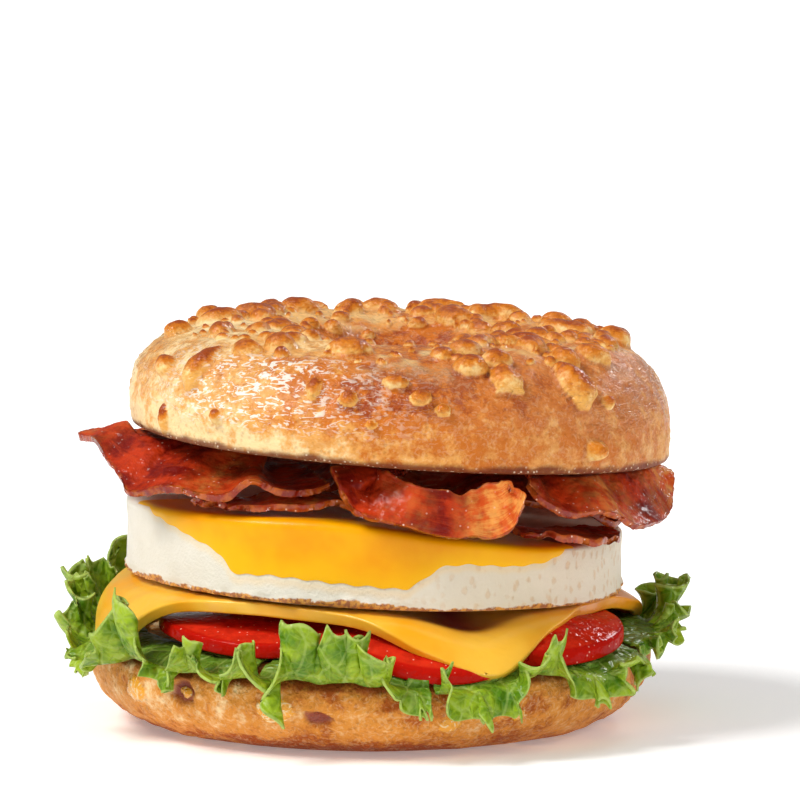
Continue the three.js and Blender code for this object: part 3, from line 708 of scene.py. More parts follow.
def yolk_depth(bearing):
    bearings, shares = np.array(YOLK_EDGE).T
    fine = np.interp(bearing + 0.8 * np.sin(bearing * 0.9), bearings, shares)
    soft = sum(np.interp(bearing + shift, bearings, shares) for shift in (-2, -1, 1, 2)) / 4
    return 0.35 * fine + 0.65 * soft + 0.012 * np.sin(bearing * 1.1)


def make_yolk_space(margin):
    """The space that the yolk takes up, shrunk by a margin on the sides inside the egg."""
    steps = 260
    shrink = math.degrees(margin / EGG_RADIUS)
    bearing = np.linspace(YOLK_EDGE[0][0] + shrink, YOLK_EDGE[-1][0] - shrink, steps)
    rim = round_the_axis(bearing, EGG_RADIUS, 0)
    top = egg_top(rim[:, 0])
    depth = (top - egg_bottom(rim[:, 0])) * yolk_depth(bearing)
    low = np.minimum(top - depth + margin, top - 0.6)
    shallow = np.minimum(top - 0.35 * depth + margin, top - 0.5)
    inner = YOLK_INNER_RADIUS + margin + 4 * np.sin(9 * np.linspace(0, 1, steps))
    outer = EGG_RADIUS + 4
    corners = [(outer, top + 4), (inner, top + 4), (inner, shallow), (outer, low)]
    rings = np.stack([round_the_axis(bearing, radius, height) for radius, height in corners], axis=1)
    return tube("yolk space", rings + np.array([EGG_SHIFT_X, 0, 0]))


def egg_shares(places):
    """Bearing round the patty, how far out on its side, and height share of places on the egg."""
    low, high = egg_bottom(places[:, 0]), egg_top(places[:, 0])
    bearing, radius = polar(places - [EGG_SHIFT_X, 0, 0])
    side = smooth_step(radius, EGG_RADIUS - 3, EGG_RADIUS - 0.6)
    return bearing, side, (places[:, 2] - low) / (high - low)


def push_egg_out(piece, places, lift):
    """Moves places on the egg level out from its middle."""
    out = places * [1, 1, 0] - [EGG_SHIFT_X, 0, 0]
    out = out / np.maximum(np.linalg.norm(out, axis=1), 1)[:, None]
    put_places(piece, places + out * lift[:, None])


def shape_egg_white(piece):
    """Golden lace at the foot, little pits on the right, and painted shade, reddish like the bacon's
    reflection, on top.
    """
    places = places_of(piece)
    bearing, side, share = egg_shares(places)
    lace = side * (1 - smooth_step(share + 0.06 * noise(places, 4, 31), 0.03, 0.14))
    bubbles = np.abs(noise(places, 1.9, 32)) + 0.6 * np.abs(noise(places, 0.9, 33))
    pitted = side * smooth_step(np.abs(bearing - 60), 70, 20)
    pits = np.clip(noise(places * [1, 1, 0.6], 1.5, 34) - 0.2, 0, 1)
    near_yolk = 1 - smooth_step(np.abs((1 - share) - yolk_depth(bearing)), 0, 0.09)
    lift = 0.95 * lace * bubbles - 0.4 * pitted * pits * (1 - near_yolk) + side * 0.1 * noise(places, 7, 35)
    # Painted shade on the top of the white, tinted like the bacon's reflection and strongest on the front
    # right.
    paint(piece, lace=lace, pitted=pitted, near_yolk=near_yolk * side,
          topside=smooth_step(share, 0.93, 0.99) * (0.2 + 0.8 * near_bearing(bearing, 35, 55)))
    push_egg_out(piece, places, lift)


def shape_yolk(piece):
    """The yolk swells a little away from its edge."""
    places = places_of(piece)
    bearing, side, share = egg_shares(places)
    from_edge = yolk_depth(bearing) - (1 - share)
    lift = side * (0.25 * smooth_step(from_edge, 0, 0.12) + 0.1 * noise(places, 7, 35))
    paint(piece, thick=smooth_step(from_edge, 0, 0.35))
    push_egg_out(piece, places, lift)


def make_egg():
    white = make_egg_disc("egg_white_patty")
    yolk = make_egg_disc("yolk_layer")
    cut(white, make_yolk_space(0))
    cut(yolk, make_yolk_space(YOLK_GAP), "INTERSECT")
    shape_egg_white(white)
    shape_yolk(yolk)
    finish_piece(white, egg_white_material(), "egg_white", seams=True)
    finish_piece(yolk, yolk_material(), "yolk", seams=True)


def cheese_rim(bearing):
    """Flat distance from the slice's middle to its melted edge."""
    turn = np.radians(bearing - CHEESE_CORNER_BEARING + 45)
    power = CHEESE_EDGE_POWER
    rounded = CHEESE_SIDE / 2 / (np.abs(np.cos(turn)) ** power + np.abs(np.sin(turn)) ** power) ** (1 / power)
    melted = (0.035 * near_bearing(bearing, TONGUE_BEARING + 4, 13)
              + 0.06 * near_bearing(bearing, LOBE_BEARING - 9, 11))
    slow = 0.008 * np.sin(np.radians(9 * bearing))
    fine = 0.006 * np.sin(np.radians(17 * bearing))
    return rounded * (1 + melted + slow + fine)


def drape(reach, fold, steepest=CHEESE_STEEPEST):
    """How far out and down a point of the cheese slice ends up when it bends over the fold."""
    past = np.maximum(0, reach - fold)
    bend = np.minimum(past / CHEESE_BEND_RADIUS, steepest)
    straight = np.maximum(0, past - steepest * CHEESE_BEND_RADIUS)
    out = np.minimum(reach, fold) + CHEESE_BEND_RADIUS * np.sin(bend) + straight * np.cos(bend)
    drop = CHEESE_BEND_RADIUS * (1 - np.cos(bend)) + straight * np.sin(bend)
    return out, drop


def cheese_places(along, across):
    """Places on the draped cheese of points of the flat square slice."""
    flat_x = 2 * along - 1
    flat_y = 2 * across - 1
    turn = CHEESE_CORNER_BEARING - 45
    bearing = bearing_of(flat_x, flat_y) + turn
    reach = np.maximum(np.abs(flat_x), np.abs(flat_y)) * cheese_rim(bearing)
    at_lobe = near_bearing(bearing, LOBE_BEARING - 8, 24)
    fold = CHEESE_FOLD_RADIUS - 3 * at_lobe
    out, drop = drape(reach, fold, CHEESE_STEEPEST + math.radians(24) * at_lobe)
    places = round_the_axis(bearing, out, 0)
    sag = 3.2 * near_bearing(bearing, TONGUE_BEARING + 1, 12) * smooth_step(reach, 34, 45)
    level = egg_bottom(np.clip(places[:, 0], -EGG_RADIUS, EGG_RADIUS)) - GAP - CHEESE_THICKNESS / 2
    places[:, 2] = level - drop - sag * (1 - 0.6 * smooth_step(reach, 50, 60))
    places[:, 2] += 0.25 * noise(places, 7, 51) * smooth_step(reach, 42, 50)
    return places


def make_cheese():
    piece = sheet("cheese_slice", CHEESE_STEPS, CHEESE_STEPS, cheese_places, CHEESE_THICKNESS - 0.1)
    round_edges(piece, 1.15, 5)
    bearing, radius = polar(places_of(piece))
    under_egg = 1 - smooth_step(radius, EGG_RADIUS - 2.2, EGG_RADIUS + 0.4)
    # Painted light: shade in the gap under the egg, and the right tip's deeper orange, which stands in for
    # light.
    paint(piece, shaded=under_egg * near_bearing(bearing, TONGUE_BEARING - 1, 13),
          warm=near_bearing(bearing, 78, 34))
    finish_piece(piece, cheese_material(), "cheese")


# Tomato slices, as plan centre, radius, thickness, lift over the heel and its growth to the right
TOMATOES = {
    "tomato_centre": (10, -32, 24, 3.8, 2.35, 0),
    "tomato_left": (-14, -19.5, 26.5, 3.8, 2.9, 0.015),
    "tomato_right": (24, -22, 24.5, 4.1, 2.6, -0.02),
    "tomato_back": (3, 29.5, 25, 4.2, 2.4, -0.01),
}


def make_slice(name, x, y, radius, thickness, lift, lift_right, margin=0):
    """A round tomato slice, thinner at its rim, that droops over the heel's edge."""
    reach = radius + margin
    half = thickness / 2 + margin
    skin = quarter_round((reach - SLICE_EDGE, 0), SLICE_EDGE, half, 3.2, 9)
    face = evenly_spaced([[0, half], [reach - SLICE_EDGE, half]], 1.3)
    outline = np.concatenate([face * [1, -1], (skin * [1, -1])[::-1][1:], skin[1:], face[::-1][1:]])
    piece = spun(name, outline, SLICE_STEPS)
    local = places_of(piece)
    bearing, distance = polar(local)
    near = distance / reach
    places = local.copy()
    places[:, 2] *= 1 - 0.3 * smooth_step(near, 0.5, 1)
    places += np.array([x, y, thickness / 2])
    forward = np.maximum(0, np.abs(local[:, 1]) - 6) * (np.sign(local[:, 1]) == np.sign(y))
    places[:, 2] += (heel_top(places[:, 0], places[:, 1]) + lift + lift_right * local[:, 0]
                     + 0.25 * np.sin(3 * np.radians(bearing) + x) - 0.0046 * forward ** 2)
    paint(piece, rim=near)
    put_places(piece, places)
    return piece


def make_tomatoes():
    """Each slice leaves room for the cheese on it and for the slices laid before it."""
    laid = []
    for name, values in TOMATOES.items():
        piece = make_slice(name + "_slice", *values)
        cut(piece, sheet("cheese space", 60, 60, cheese_places, 10, 0.7))
        for earlier in laid:
            cut(piece, make_slice("slice space", *earlier, margin=0.15))
        laid.append(values)
        finish_piece(piece, tomato_material(name), name, seams=True)


def tomato_reach(bearing):
    """How far the tomato slices reach from the axis at a bearing."""
    farthest = np.zeros_like(bearing)
    for x, y, radius, *_ in TOMATOES.values():
        offset = math.hypot(x, y)
        turn = np.radians(bearing - bearing_of(x, y))
        inside = radius ** 2 - (offset * np.sin(turn)) ** 2
        reach = offset * np.cos(turn) + np.sqrt(np.maximum(inside, 0))
        farthest = np.where(inside > 0, np.maximum(farthest, reach), farthest)
    return farthest


def cheese_reach(bearing):
    return drape(np.minimum(cheese_rim(bearing), 61), CHEESE_FOLD_RADIUS)[0]


def along_stations(stations, share):
    """Value along a list of evenly spaced stations, smoothly joined."""
    stations = np.array(stations, float)
    place = np.clip(share, 0, 1) * (len(stations) - 1)
    first = np.minimum(place.astype(int), len(stations) - 2)
    blend = smooth_step(place - first, 0, 1)
    return stations[first] + (stations[first + 1] - stations[first]) * blend


def leaf_level(x, y):
    return heel_top(x, y) + LEAF_CLEARANCE


def keep_off_heel(places):
    """Lifts places off the heel's top, or moves them out past its side."""
    x, y, z = places.T
    bearing, radius = polar(places)
    side = heel_side(bearing, z) + LEAF_CLEARANCE
    level = leaf_level(x, y)
    sunk = (radius < side) & (z < level)
    inner = radius < HEEL_RADIUS - 1
    lifted = np.stack([x, y, level], axis=1)
    pushed = round_the_axis(bearing, side, z)
    return np.where((sunk & inner)[:, None], lifted, np.where((sunk & ~inner)[:, None], pushed, places))


# Leaves: bearings, rim, waves, phase, frill, teeth, and lengths and curls of the free edge at even stations
LEAVES = {
    "lettuce_left": dict(
        start=-122, end=-78, rim=50.5, waves=4, phase=0.4, frill=2, teeth=20,
        lengths=[9.5, 12, 13, 13.5, 12, 9, 5.5], bends=[150, 140, 100, 90, 92, 100, 100]),
    "lettuce_front_left": dict(
        start=-76, end=-24, rim=55.2, waves=7.5, phase=1.2, frill=1.8, teeth=25,
        lengths=[3, 4.5, 4, 5, 10, 14, 13, 7, 6, 9, 8, 5.5, 9],
        bends=[0, 30, -60, -80, 40, 135, 130, -30, -80, 100, 60, -80, 90]),
    "lettuce_front": dict(
        start=-22, end=11, rim=55.2, waves=5, phase=2.2, frill=1.8, teeth=17,
        lengths=[10, 9, 11, 10, 10, 11, 8, 7, 6], bends=[125, -110, 130, 100, 125, 135, 80, -90, -90]),
    "lettuce_front_right": dict(
        start=12, end=67, rim=55.2, waves=7.5, phase=0.2, frill=1.8, teeth=26,
        lengths=[8, 7, 7.5, 7.5, 8, 9, 8, 7.5, 7, 7, 7.5, 7, 4],
        bends=[110, -90, -110, -100, 60, 120, -55, -100, -70, 60, -80, -70, -30]),
    "lettuce_right": dict(
        start=69, end=118, rim=54, waves=6.5, phase=1.9, frill=2.4, teeth=21,
        lengths=[3, 7, 9.5, 10.5, 10, 12, 9, 4], bends=[-30, -35, -5, 25, 60, 100, 100, 30]),
    "lettuce_back": dict(
        start=122, end=234, rim=55.2, waves=13, phase=0.8, frill=1.8, teeth=46,
        lengths=[3, 8, 7, 9, 10, 8, 7, 9, 8, 10, 8, 7, 9, 8, 8, 6, 3],
        bends=[-30, -110, 60, 120, -90, -120, 80, -60, 120, -100, -120, 60, 110, -90, -115, 40, -20]),
}


def tooth_gaps(teeth, phase, along, length):
    """How far a leaf's edge is cut back between its teeth."""
    warp = along + 0.014 * np.sin(31 * along + phase) + 0.006 * np.sin(77 * along)
    spike = np.abs(2 * ((teeth * warp) % 1) - 1) ** 2.4
    depth = np.minimum(TOOTH_DEPTH, 0.35 * length) * (0.8 + 0.4 * np.sin(53 * along + phase))
    return depth * (1 - spike)


def leaf_places(leaf, along, across):
    """Places on a leaf that lies on the heel and frills out past its rim."""
    bearing = leaf["start"] + (leaf["end"] - leaf["start"]) * along
    phase = leaf["phase"]
    rim = leaf["rim"] * swell(bearing, HEEL_SWELL_PHASE)
    lie = np.minimum(1, across / LEAF_LYING_SHARE)
    lying = round_the_axis(bearing, LEAF_ROOT_RADIUS + (rim - LEAF_ROOT_RADIUS) * lie, 0)
    lying[:, 2] = leaf_level(lying[:, 0], lying[:, 1]) + 0.7 * lie * (0.4 + noise(lying, 4.5, 71))
    outward = np.clip((across - LEAF_LYING_SHARE) / (1 - LEAF_LYING_SHARE), 0, 1)
    straight = np.maximum(0, np.maximum(tomato_reach(bearing), cheese_reach(bearing)) + 1.2 - rim)
    length = along_stations(leaf["lengths"], along)
    travel = outward * (straight + 1.06 * length - tooth_gaps(leaf["teeth"], phase, along, length))
    curl = np.maximum(0, travel - straight)
    share = curl / length
    bend = np.radians(along_stations(leaf["bends"], along)) * share
    ripple = 2 * math.pi * leaf["waves"] * along + phase + 1.2 * np.sin(9 * along)
    fine = 2.6 * ripple
    loose = leaf["frill"] * np.minimum(1, length / 9)
    frill = loose * (share ** 1.5 * np.sin(ripple) * 1.2 + 0.7 * share ** 2.2 * np.sin(fine))
    flat_share = np.cos(bend / 2)
    out = np.minimum(travel, straight) + curl * flat_share * (1 - 0.35 * flat_share) - frill * np.sin(bend)
    up = curl * np.sin(bend / 2) + frill * np.cos(bend) - 0.5 * np.minimum(travel, straight)
    twist = loose * share * (np.cos(ripple) + 0.7 * np.cos(fine))
    free = round_the_axis(bearing + twist, rim + out, lying[:, 2] + up)
    return keep_off_heel(np.where((across <= LEAF_LYING_SHARE)[:, None], lying, free))


def make_leaf(name, leaf):
    steps = int(LEAF_STEPS_A_DEGREE * (leaf["end"] - leaf["start"]))
    piece = sheet(name + "_leaf", steps, LEAF_STEPS_ACROSS,
                  lambda along, across: leaf_places(leaf, along, across), LEAF_THICKNESS)
    places = places_of(piece)
    lift = 0.16 * noise(places, 2.4, 72)
    put_places(piece, places + normals_of(piece) * lift[:, None])
    finish_piece(piece, lettuce_material(), name)


# Rashers: places on a line round the sandwich, and the anchor, the share of the width outside that line.
# Widths, leans and shares of fat are values at even stations along the line, and its direction is taken
# over a window to either side.
RASHERS = {
    "bacon_left_lower": dict(
        line=[[-33, -32, 46.6], [-15, -36, 47], [8, -34, 46.2]], anchor=0.5,
        widths=[11, 13, 12], leans=[2, 8, 0], waves=2, skew=0.2, phase=0, wave=0.8, rounded=(0.1, 0.1),
        fat=[0.2, 0.5, 0]),
    "bacon_left": dict(
        line=[[-56, -8, 55.9], [-52.9, -14, 56.1], [-50.4, -19, 53.2], [-47.1, -25, 49.4],
              [-45.7, -28.5, 47.8], [-38.9, -35, 49.7], [-32.2, -39, 48.4], [-26.9, -42, 48.3],
              [-21.6, -43.5, 51.2], [-15.6, -43, 49.5], [-7.4, -40, 50.4]],
        anchor=0, widths=[3, 12, 18, 23, 26, 28, 28, 27, 25, 24, 22],
        leans=[14, 22, 28, 33, 32, 25, 21, 19, 6, 6, 2],
        waves=3, skew=0.2, phase=0.9, wave=0.5, rounded=(0, 0), window=0.16,
        fat=[0.3, 0.1, 0, 0, 0, 0, 0.35, 0.1, 0.25, 0, 0]),
    "bacon_centre": dict(
        line=[[-7.4, -44, 53.7], [-5.9, -47, 51.6], [-5.3, -48.5, 49.4], [-3.6, -50, 47.5], [-1, -51, 45.8],
              [3, -51.5, 44.5], [8.3, -52, 43.6], [13.7, -52, 42.2], [16.8, -52, 41.9], [19.4, -52, 42.3],
              [22.6, -51.5, 42], [25.7, -51, 43], [27.5, -50, 45.3], [28.4, -49, 48.4], [27.8, -48, 50.4]],
        anchor=0, widths=[10, 13, 15, 15, 14, 10, 8.4, 9, 7.6, 8.6, 11, 10.5, 8, 4, 2.5],
        leans=[2, 10, 20, 30, 38, 58, 74, 76, 76, 76, 76, 74, 66, 40, 20],
        waves=2.5, skew=0.1, phase=0.6, wave=0.45, rounded=(0, 0), window=0.05,
        fat=[0.1, 0, 0, 0, 0, 0.1, 0.2, 0, 0.2, 0.7, 1, 1, 1, 1, 1]),
    "bacon_middle": dict(
        line=[[-24, 3, 50], [0, -8, 51.2], [18, -14, 50.6], [34, -14, 49], [47, -5, 44.5]], anchor=0.5,
        widths=[26, 30, 32, 32, 20], leans=[4, 14, 17, 17, 8], waves=3.25, skew=0.3, phase=0.9, wave=1.8,
        rounded=(0, 0), fat=[0, 0.2, 0, 0.1, 0]),
    "bacon_right": dict(
        line=[[29.5, -44, 50.4], [33, -44.5, 47], [37.8, -42, 45.5], [42.2, -39, 45.1], [46.7, -35, 43.5],
              [50.7, -30, 41.4], [54.7, -23, 41.2], [57.2, -15, 41.9], [58, -8, 44.1], [58.2, -3, 47],
              [57.6, 1, 48.6]],
        anchor=0, widths=[14, 16, 16, 16, 15, 15, 14, 12, 9, 6, 3],
        leans=[30, 33, 36, 40, 46, 50, 53, 55, 52, 40, 20],
        waves=2.5, skew=0.2, phase=0.8, wave=0.5, rounded=(0, 0), window=0.08,
        fat=[0.2, 0.1, 0, 0.2, 0.6, 0.3, 0, 0.3, 0.7, 1, 1]),
    "bacon_right_lower": dict(
        line=[[28, -38, 41], [37, -32, 40.2], [46, -22, 39.8]], anchor=0.5,
        widths=[9, 12, 9], leans=[4, 6, 8], waves=1, skew=0.1, phase=0, wave=0.5, rounded=(0.25, 0.25),
        fat=[0, 0.3, 0.1]),
    "bacon_back_left": dict(
        line=[[6, 32, 50], [-16, 34, 51], [-34, 25, 52], [-50, 11, 53]], anchor=0.5,
        widths=[22, 28, 27, 18], leans=[16, 12, 16, 20], waves=2.5, skew=0.25, phase=0.9, wave=2.6,
        rounded=(0.05, 0.12), fat=[0, 0.4, 0, 0.5]),
    "bacon_back_right": dict(
        line=[[57, 14, 44], [42, 26, 44.2], [24, 35, 45.2], [9, 38, 46.6]], anchor=0.5,
        widths=[16, 25, 26, 18], leans=[26, 27, 28, 26], waves=2.5, skew=0.2, phase=2.6, wave=1.8,
        rounded=(0.14, 0.05), fat=[0.5, 0, 0.5, 0]),
}


def rounded_end(share, end):
    """Narrowing of a rasher towards a rounded end."""
    if end == 0:
        return np.ones_like(share)
    return 0.3 + 0.7 * np.sqrt(1 - np.clip(1 - share / end, 0, 1) ** 2)


def along_line(line, share):
    """Places on a smooth curve through a few places."""
    line = np.array(line, float)
    line = np.concatenate([[2 * line[0] - line[1]], line, [2 * line[-1] - line[-2]]])
    place = np.clip(share, 0, 1) * (len(line) - 3)
    first = np.minimum(place.astype(int), len(line) - 4)
    t = (place - first)[:, None]
    before, start, end, after = (line[first + step] for step in range(4))
    return 0.5 * (2 * start + (end - before) * t + (2 * before - 5 * start + 4 * end - after) * t ** 2
                  + (3 * start - before - 3 * end + after) * t ** 3)


def keep_between(places):
    """Keeps rashers clear of the egg below and the crown above, and lets them bend past both rims."""
    clearance = GAP + 0.62 * RASHER_THICKNESS
    x, y, z = places.T
    past_egg = np.maximum(0, np.hypot(x - EGG_SHIFT_X, y) - EGG_RADIUS + 0.3)
    past_crown = np.maximum(0, np.hypot(x - CROWN_SHIFT_X, y) - CROWN_RADIUS + 0.6)
    z = np.maximum(z, egg_top(x) + clearance - 1.7 * past_egg)
    z = np.minimum(z, crown_bottom(x) - clearance + 1.5 * past_crown)
    return np.stack([x, y, z], axis=1)


def rasher_places(rasher, along, across):
    """Places on a rasher that waves and leans along its line."""
    line = rasher["line"]
    phase = rasher["phase"]
    window = rasher.get("window", 0.02)
    side = np.cross([0, 0, 1], along_line(line, along + window) - along_line(line, along - window))
    side = side / np.linalg.norm(side, axis=1)[:, None]
    lean = np.radians(along_stations(rasher["leans"], along))
    start_round, end_round = rasher["rounded"]
    width = along_stations(rasher["widths"], along) * (1 + 0.05 * np.sin(23 * along + phase))
    width = width * rounded_end(along, start_round) * rounded_end(1 - along, end_round)
    ripple = 2 * math.pi * (rasher["waves"] * along + rasher["skew"] * across) + phase
    outer = 1 - smooth_step(across, 0, 0.3)
    crinkle = np.sin(2 * math.pi * 5.3 * along + 3 * phase + 2 * np.sin(7 * along))
    wave = rasher["wave"] * (np.sin(ripple + 0.8 * np.sin(5 * along)) + 0.5 * outer * crinkle)
    offset = (across - rasher["anchor"]) * width
    places = along_line(line, along) + side * (offset * np.cos(lean) - wave * np.sin(lean))[:, None]
    places[:, 2] += offset * np.sin(lean) + wave * np.cos(lean)
    places[:, 2] += 0.5 * noise(places, 6, 61)
    return keep_between(places)


def rim_shares(piece):
    """How near each vertex of a sheet lies to its rim, and its share along it, from its grid coordinates."""
    mesh = piece.data
    corners = read_rows(mesh.uv_layers[0].data, "uv", 2)
    vertices = np.empty(len(mesh.loops), dtype=np.int64)
    mesh.loops.foreach_get("vertex_index", vertices)
    inset = np.minimum(corners, 1 - corners)
    near = np.zeros(len(mesh.vertices))
    near[vertices] = 1 - smooth_step(np.minimum(inset[:, 0] * 4, inset[:, 1]), 0.01, 0.06)
    along = np.zeros(len(mesh.vertices))
    along[vertices] = corners[:, 0]
    return near, along


def make_rasher(name, rasher):
    piece = sheet(name + "_rasher", *RASHER_STEPS,
                  lambda along, across: rasher_places(rasher, along, across), RASHER_SHEET)
    round_edges(piece, 0.35, 2)
    places = places_of(piece)
    edge, along = rim_shares(piece)
    fine = noise(places, 1.1, 63)
    lift = 0.22 * noise(places, 2.6, 62) + 0.1 * fine + edge * 0.22 * np.abs(noise(places, 1.1, 64))
    paint(piece, edge=edge, fat=along_stations(rasher["fat"], along))
    put_places(piece, places + normals_of(piece) * lift[:, None])
    finish_piece(piece, bacon_material(name), name)


def colour(code):
    """Linear colour of a colour written as six hexadecimal digits."""
    shares = [int(code[start:start + 2], 16) / 255 for start in (0, 2, 4)]
    return [share / 12.92 if share <= 0.04045 else ((share + 0.055) / 1.055) ** 2.4 for share in shares] + [1]


def feed(socket, value):
    """Links a socket to another, or sets its value, which may be written as a colour's six digits."""
    if isinstance(value, bpy.types.NodeSocket):
        socket.id_data.links.new(value, socket)
    else:
        socket.default_value = colour(value) if isinstance(value, str) else value


def set_inputs(node, **values):
    for name, value in values.items():
        feed(node.inputs[name.replace("_", " ")], value)


def add_node(tree, kind, *values, **settings):
    """Adds a node with its settings, and feeds its inputs in order. None leaves an input as it is."""
    node = tree.nodes.new("ShaderNode" + kind)
    set_all(node, settings)
    for socket, value in zip(node.inputs, values):
        if value is not None:
            feed(socket, value)
    return node


def calculate(tree, operation, *values):
    return add_node(tree, "Math", *values, operation=operation).outputs[0]


def multiply(tree, *values):
    product = values[0]
    for value in values[1:]:
        product = calculate(tree, "MULTIPLY", product, value)
    return product


def scaled(tree, value, factor, start):
    """A value times a factor, added to a start."""
    return calculate(tree, "MULTIPLY_ADD", value, factor, start)


def mix_colours(tree, share, first, second):
    """The node keeps its two colours at inputs 6 and 7, and the mixed one at output 2."""
    node = add_node(tree, "Mix", data_type="RGBA")
    for place, value in ((0, share), (6, first), (7, second)):
        feed(node.inputs[place], value)
    return node.outputs[2]


def step_between(tree, value, low, high):
    """Smooth step of a value from 0 at low to 1 at high."""
    return add_node(tree, "MapRange", value, low, high, 0.0, 1.0, interpolation_type="SMOOTHSTEP").outputs[0]


def blend(tree, value, low, high, first, second):
    """Turns from the first colour, where a value is low, to the second, where it is high."""
    return mix_colours(tree, step_between(tree, value, low, high), first, second)


def over(tree, below, top, *shares):
    """Lays a colour over another as far as the product of the shares says."""
    return mix_colours(tree, multiply(tree, *shares), below, top)


def read_number(tree, name):
    return add_node(tree, "Attribute", attribute_name=name).outputs["Fac"]


def millimetres(tree, stretch=(1, 1, 1)):
    """Object coordinates in millimetres, with a stretch along each axis."""
    place = add_node(tree, "TexCoord").outputs["Object"]
    return add_node(tree, "Mapping", place, None, None, [part / MM for part in stretch]).outputs[0]


def cloud(tree, vector, size, detail=3.0, roughness=0.55, distortion=0.0):
    """Noise between 0 and 1 with clouds about as wide as size."""
    node = add_node(tree, "TexNoise")
    set_inputs(node, Vector=vector, Scale=1 / size, Detail=detail, Roughness=roughness, Distortion=distortion)
    return node.outputs["Fac"]


def cells(tree, vector, size, feature="F1"):
    """Distance from the middle, or the edge, of cells about as wide as size."""
    node = add_node(tree, "TexVoronoi", feature=feature)
    set_inputs(node, Vector=vector, Scale=1 / size, Randomness=1.0)
    return node.outputs["Distance"]


def bumped(tree, height, distance, strength=1.0, below=None):
    """Normal of a surface with a relief whose full height is distance, in millimetres."""
    node = add_node(tree, "Bump")
    set_inputs(node, Strength=strength, Distance=distance * MM, Height=height)
    if below is not None:
        set_inputs(node, Normal=below)
    return node.outputs["Normal"]


def new_material(name):
    material = bpy.data.materials.new(name)
    material.use_nodes = True
    return material, material.node_tree, material.node_tree.nodes["Principled BSDF"]


def new_effect(name, inputs, outputs):
    """A shader node group kept for several materials, with numbers as its outputs."""
    group = bpy.data.node_groups.new(name, "ShaderNodeTree")
    for label, kind in inputs.items():
        group.interface.new_socket(name=label, in_out="INPUT", socket_type="NodeSocket" + kind)
    for label in outputs:
        group.interface.new_socket(name=label, in_out="OUTPUT", socket_type="NodeSocketFloat")
    return group, group.nodes.new("NodeGroupInput").outputs, group.nodes.new("NodeGroupOutput").inputs


def use_effect(tree, group, *values):
    node = add_node(tree, "Group", node_tree=group)
    for socket, value in zip(node.inputs, values):
        feed(socket, value)
    return node.outputs


def crust_grain_effect():
    """Fine pores, blisters and mottling of a baked crust."""
    group, given, result = new_effect(
        "crust grain", {"Place": "Vector"}, ["Mottle", "Pores", "Relief", "Flakes"])
    place = given["Place"]
    mottle = cloud(group, place, 3.4, 5.0, 0.6)
    fine = cloud(group, place, 0.7, 3.0, 0.6)
    pores = step_between(group, cells(group, place, 1.3), 0.36, 0.12)
    crackle = cloud(group, place, 1.8, 3.0, 0.6, 2.0)
    feed(result["Mottle"], scaled(group, fine, 0.3, multiply(group, mottle, 0.8)))
    feed(result["Pores"], pores)
    feed(result["Flakes"], step_between(group, crackle, 0.5, 0.64))
    dented = scaled(group, pores, -0.3, multiply(group, fine, 0.6))
    feed(result["Relief"], scaled(group, crackle, 0.9, dented))
    return group


def glisten_effect():
    """Tiny wet beads and dents that catch the light."""
    group, given, result = new_effect(
        "wet glisten", {"Place": "Vector", "Size": "Float"}, ["Relief", "Roughness"])
    shrunk = add_node(group, "VectorMath", given["Place"], operation="SCALE")
    set_inputs(shrunk, Scale=calculate(group, "DIVIDE", 1.0, given["Size"]))
    beads = cells(group, shrunk.outputs[0], 1.0, "SMOOTH_F1")
    ripples = cloud(group, shrunk.outputs[0], 1.4, 3.0, 0.6)
    feed(result["Relief"], scaled(group, ripples, 0.8, beads))
    feed(result["Roughness"], scaled(group, ripples, 0.25, 0.06))
    return group


def baked_crust(tree, mottle, flakes):
    """Crust from pale to brown, duller on the right, with a film of cheese and pale flakes on it."""
    # This share carries painted light as well as baking: the crown is paler on its lit left side.
    bake = calculate(tree, "ADD", read_number(tree, "bake"), scaled(tree, mottle, 1.6, -0.88))
    tan = blend(tree, bake, 0.02, 0.36, "FBDAA0", "EBA654")
    golden = blend(tree, bake, 0.34, 0.7, tan, "D0701A")
    brown = blend(tree, bake, 0.78, 1.1, golden, "A03C02")
    dull = blend(tree, mottle, 0.35, 0.65, "DDA068", "C4743C")
    blushed = over(tree, brown, dull, read_number(tree, "blush"), 0.55)
    film = read_number(tree, "film")
    filmed = over(tree, blushed, "FBD590", film, step_between(tree, mottle, 0.35, 0.65), 0.75)
    return over(tree, filmed, "FBE3B8", flakes, 0.15)


def cheese_nubs(tree, below, mottle, on_nub):
    """Nubs of baked cheese, pale at the foot and crisp on top."""
    foot = over(tree, below, blend(tree, mottle, 0.35, 0.6, "FCD894", "F0AE50"), on_nub)
    upper = scaled(tree, mottle, 1.6, calculate(tree, "SUBTRACT", read_number(tree, "upper"), 0.88))
    browned = over(tree, foot, "DA7C12", on_nub, step_between(tree, upper, 0.1, 0.6))
    return over(tree, browned, "A44406", on_nub, step_between(tree, upper, 0.5, 0.92))


def frothy_rim(tree, below, mottle, place):
    """The dark edge of the cut, with pale specks."""
    rim = read_number(tree, "rim")
    dark = over(tree, below, "6E2814", rim, step_between(tree, mottle, 0.25, 0.5), 0.9)
    specks = step_between(tree, cells(tree, place, 1.0), 0.3, 0.12)
    return over(tree, dark, "F7DFC0", specks, 0.7, rim)


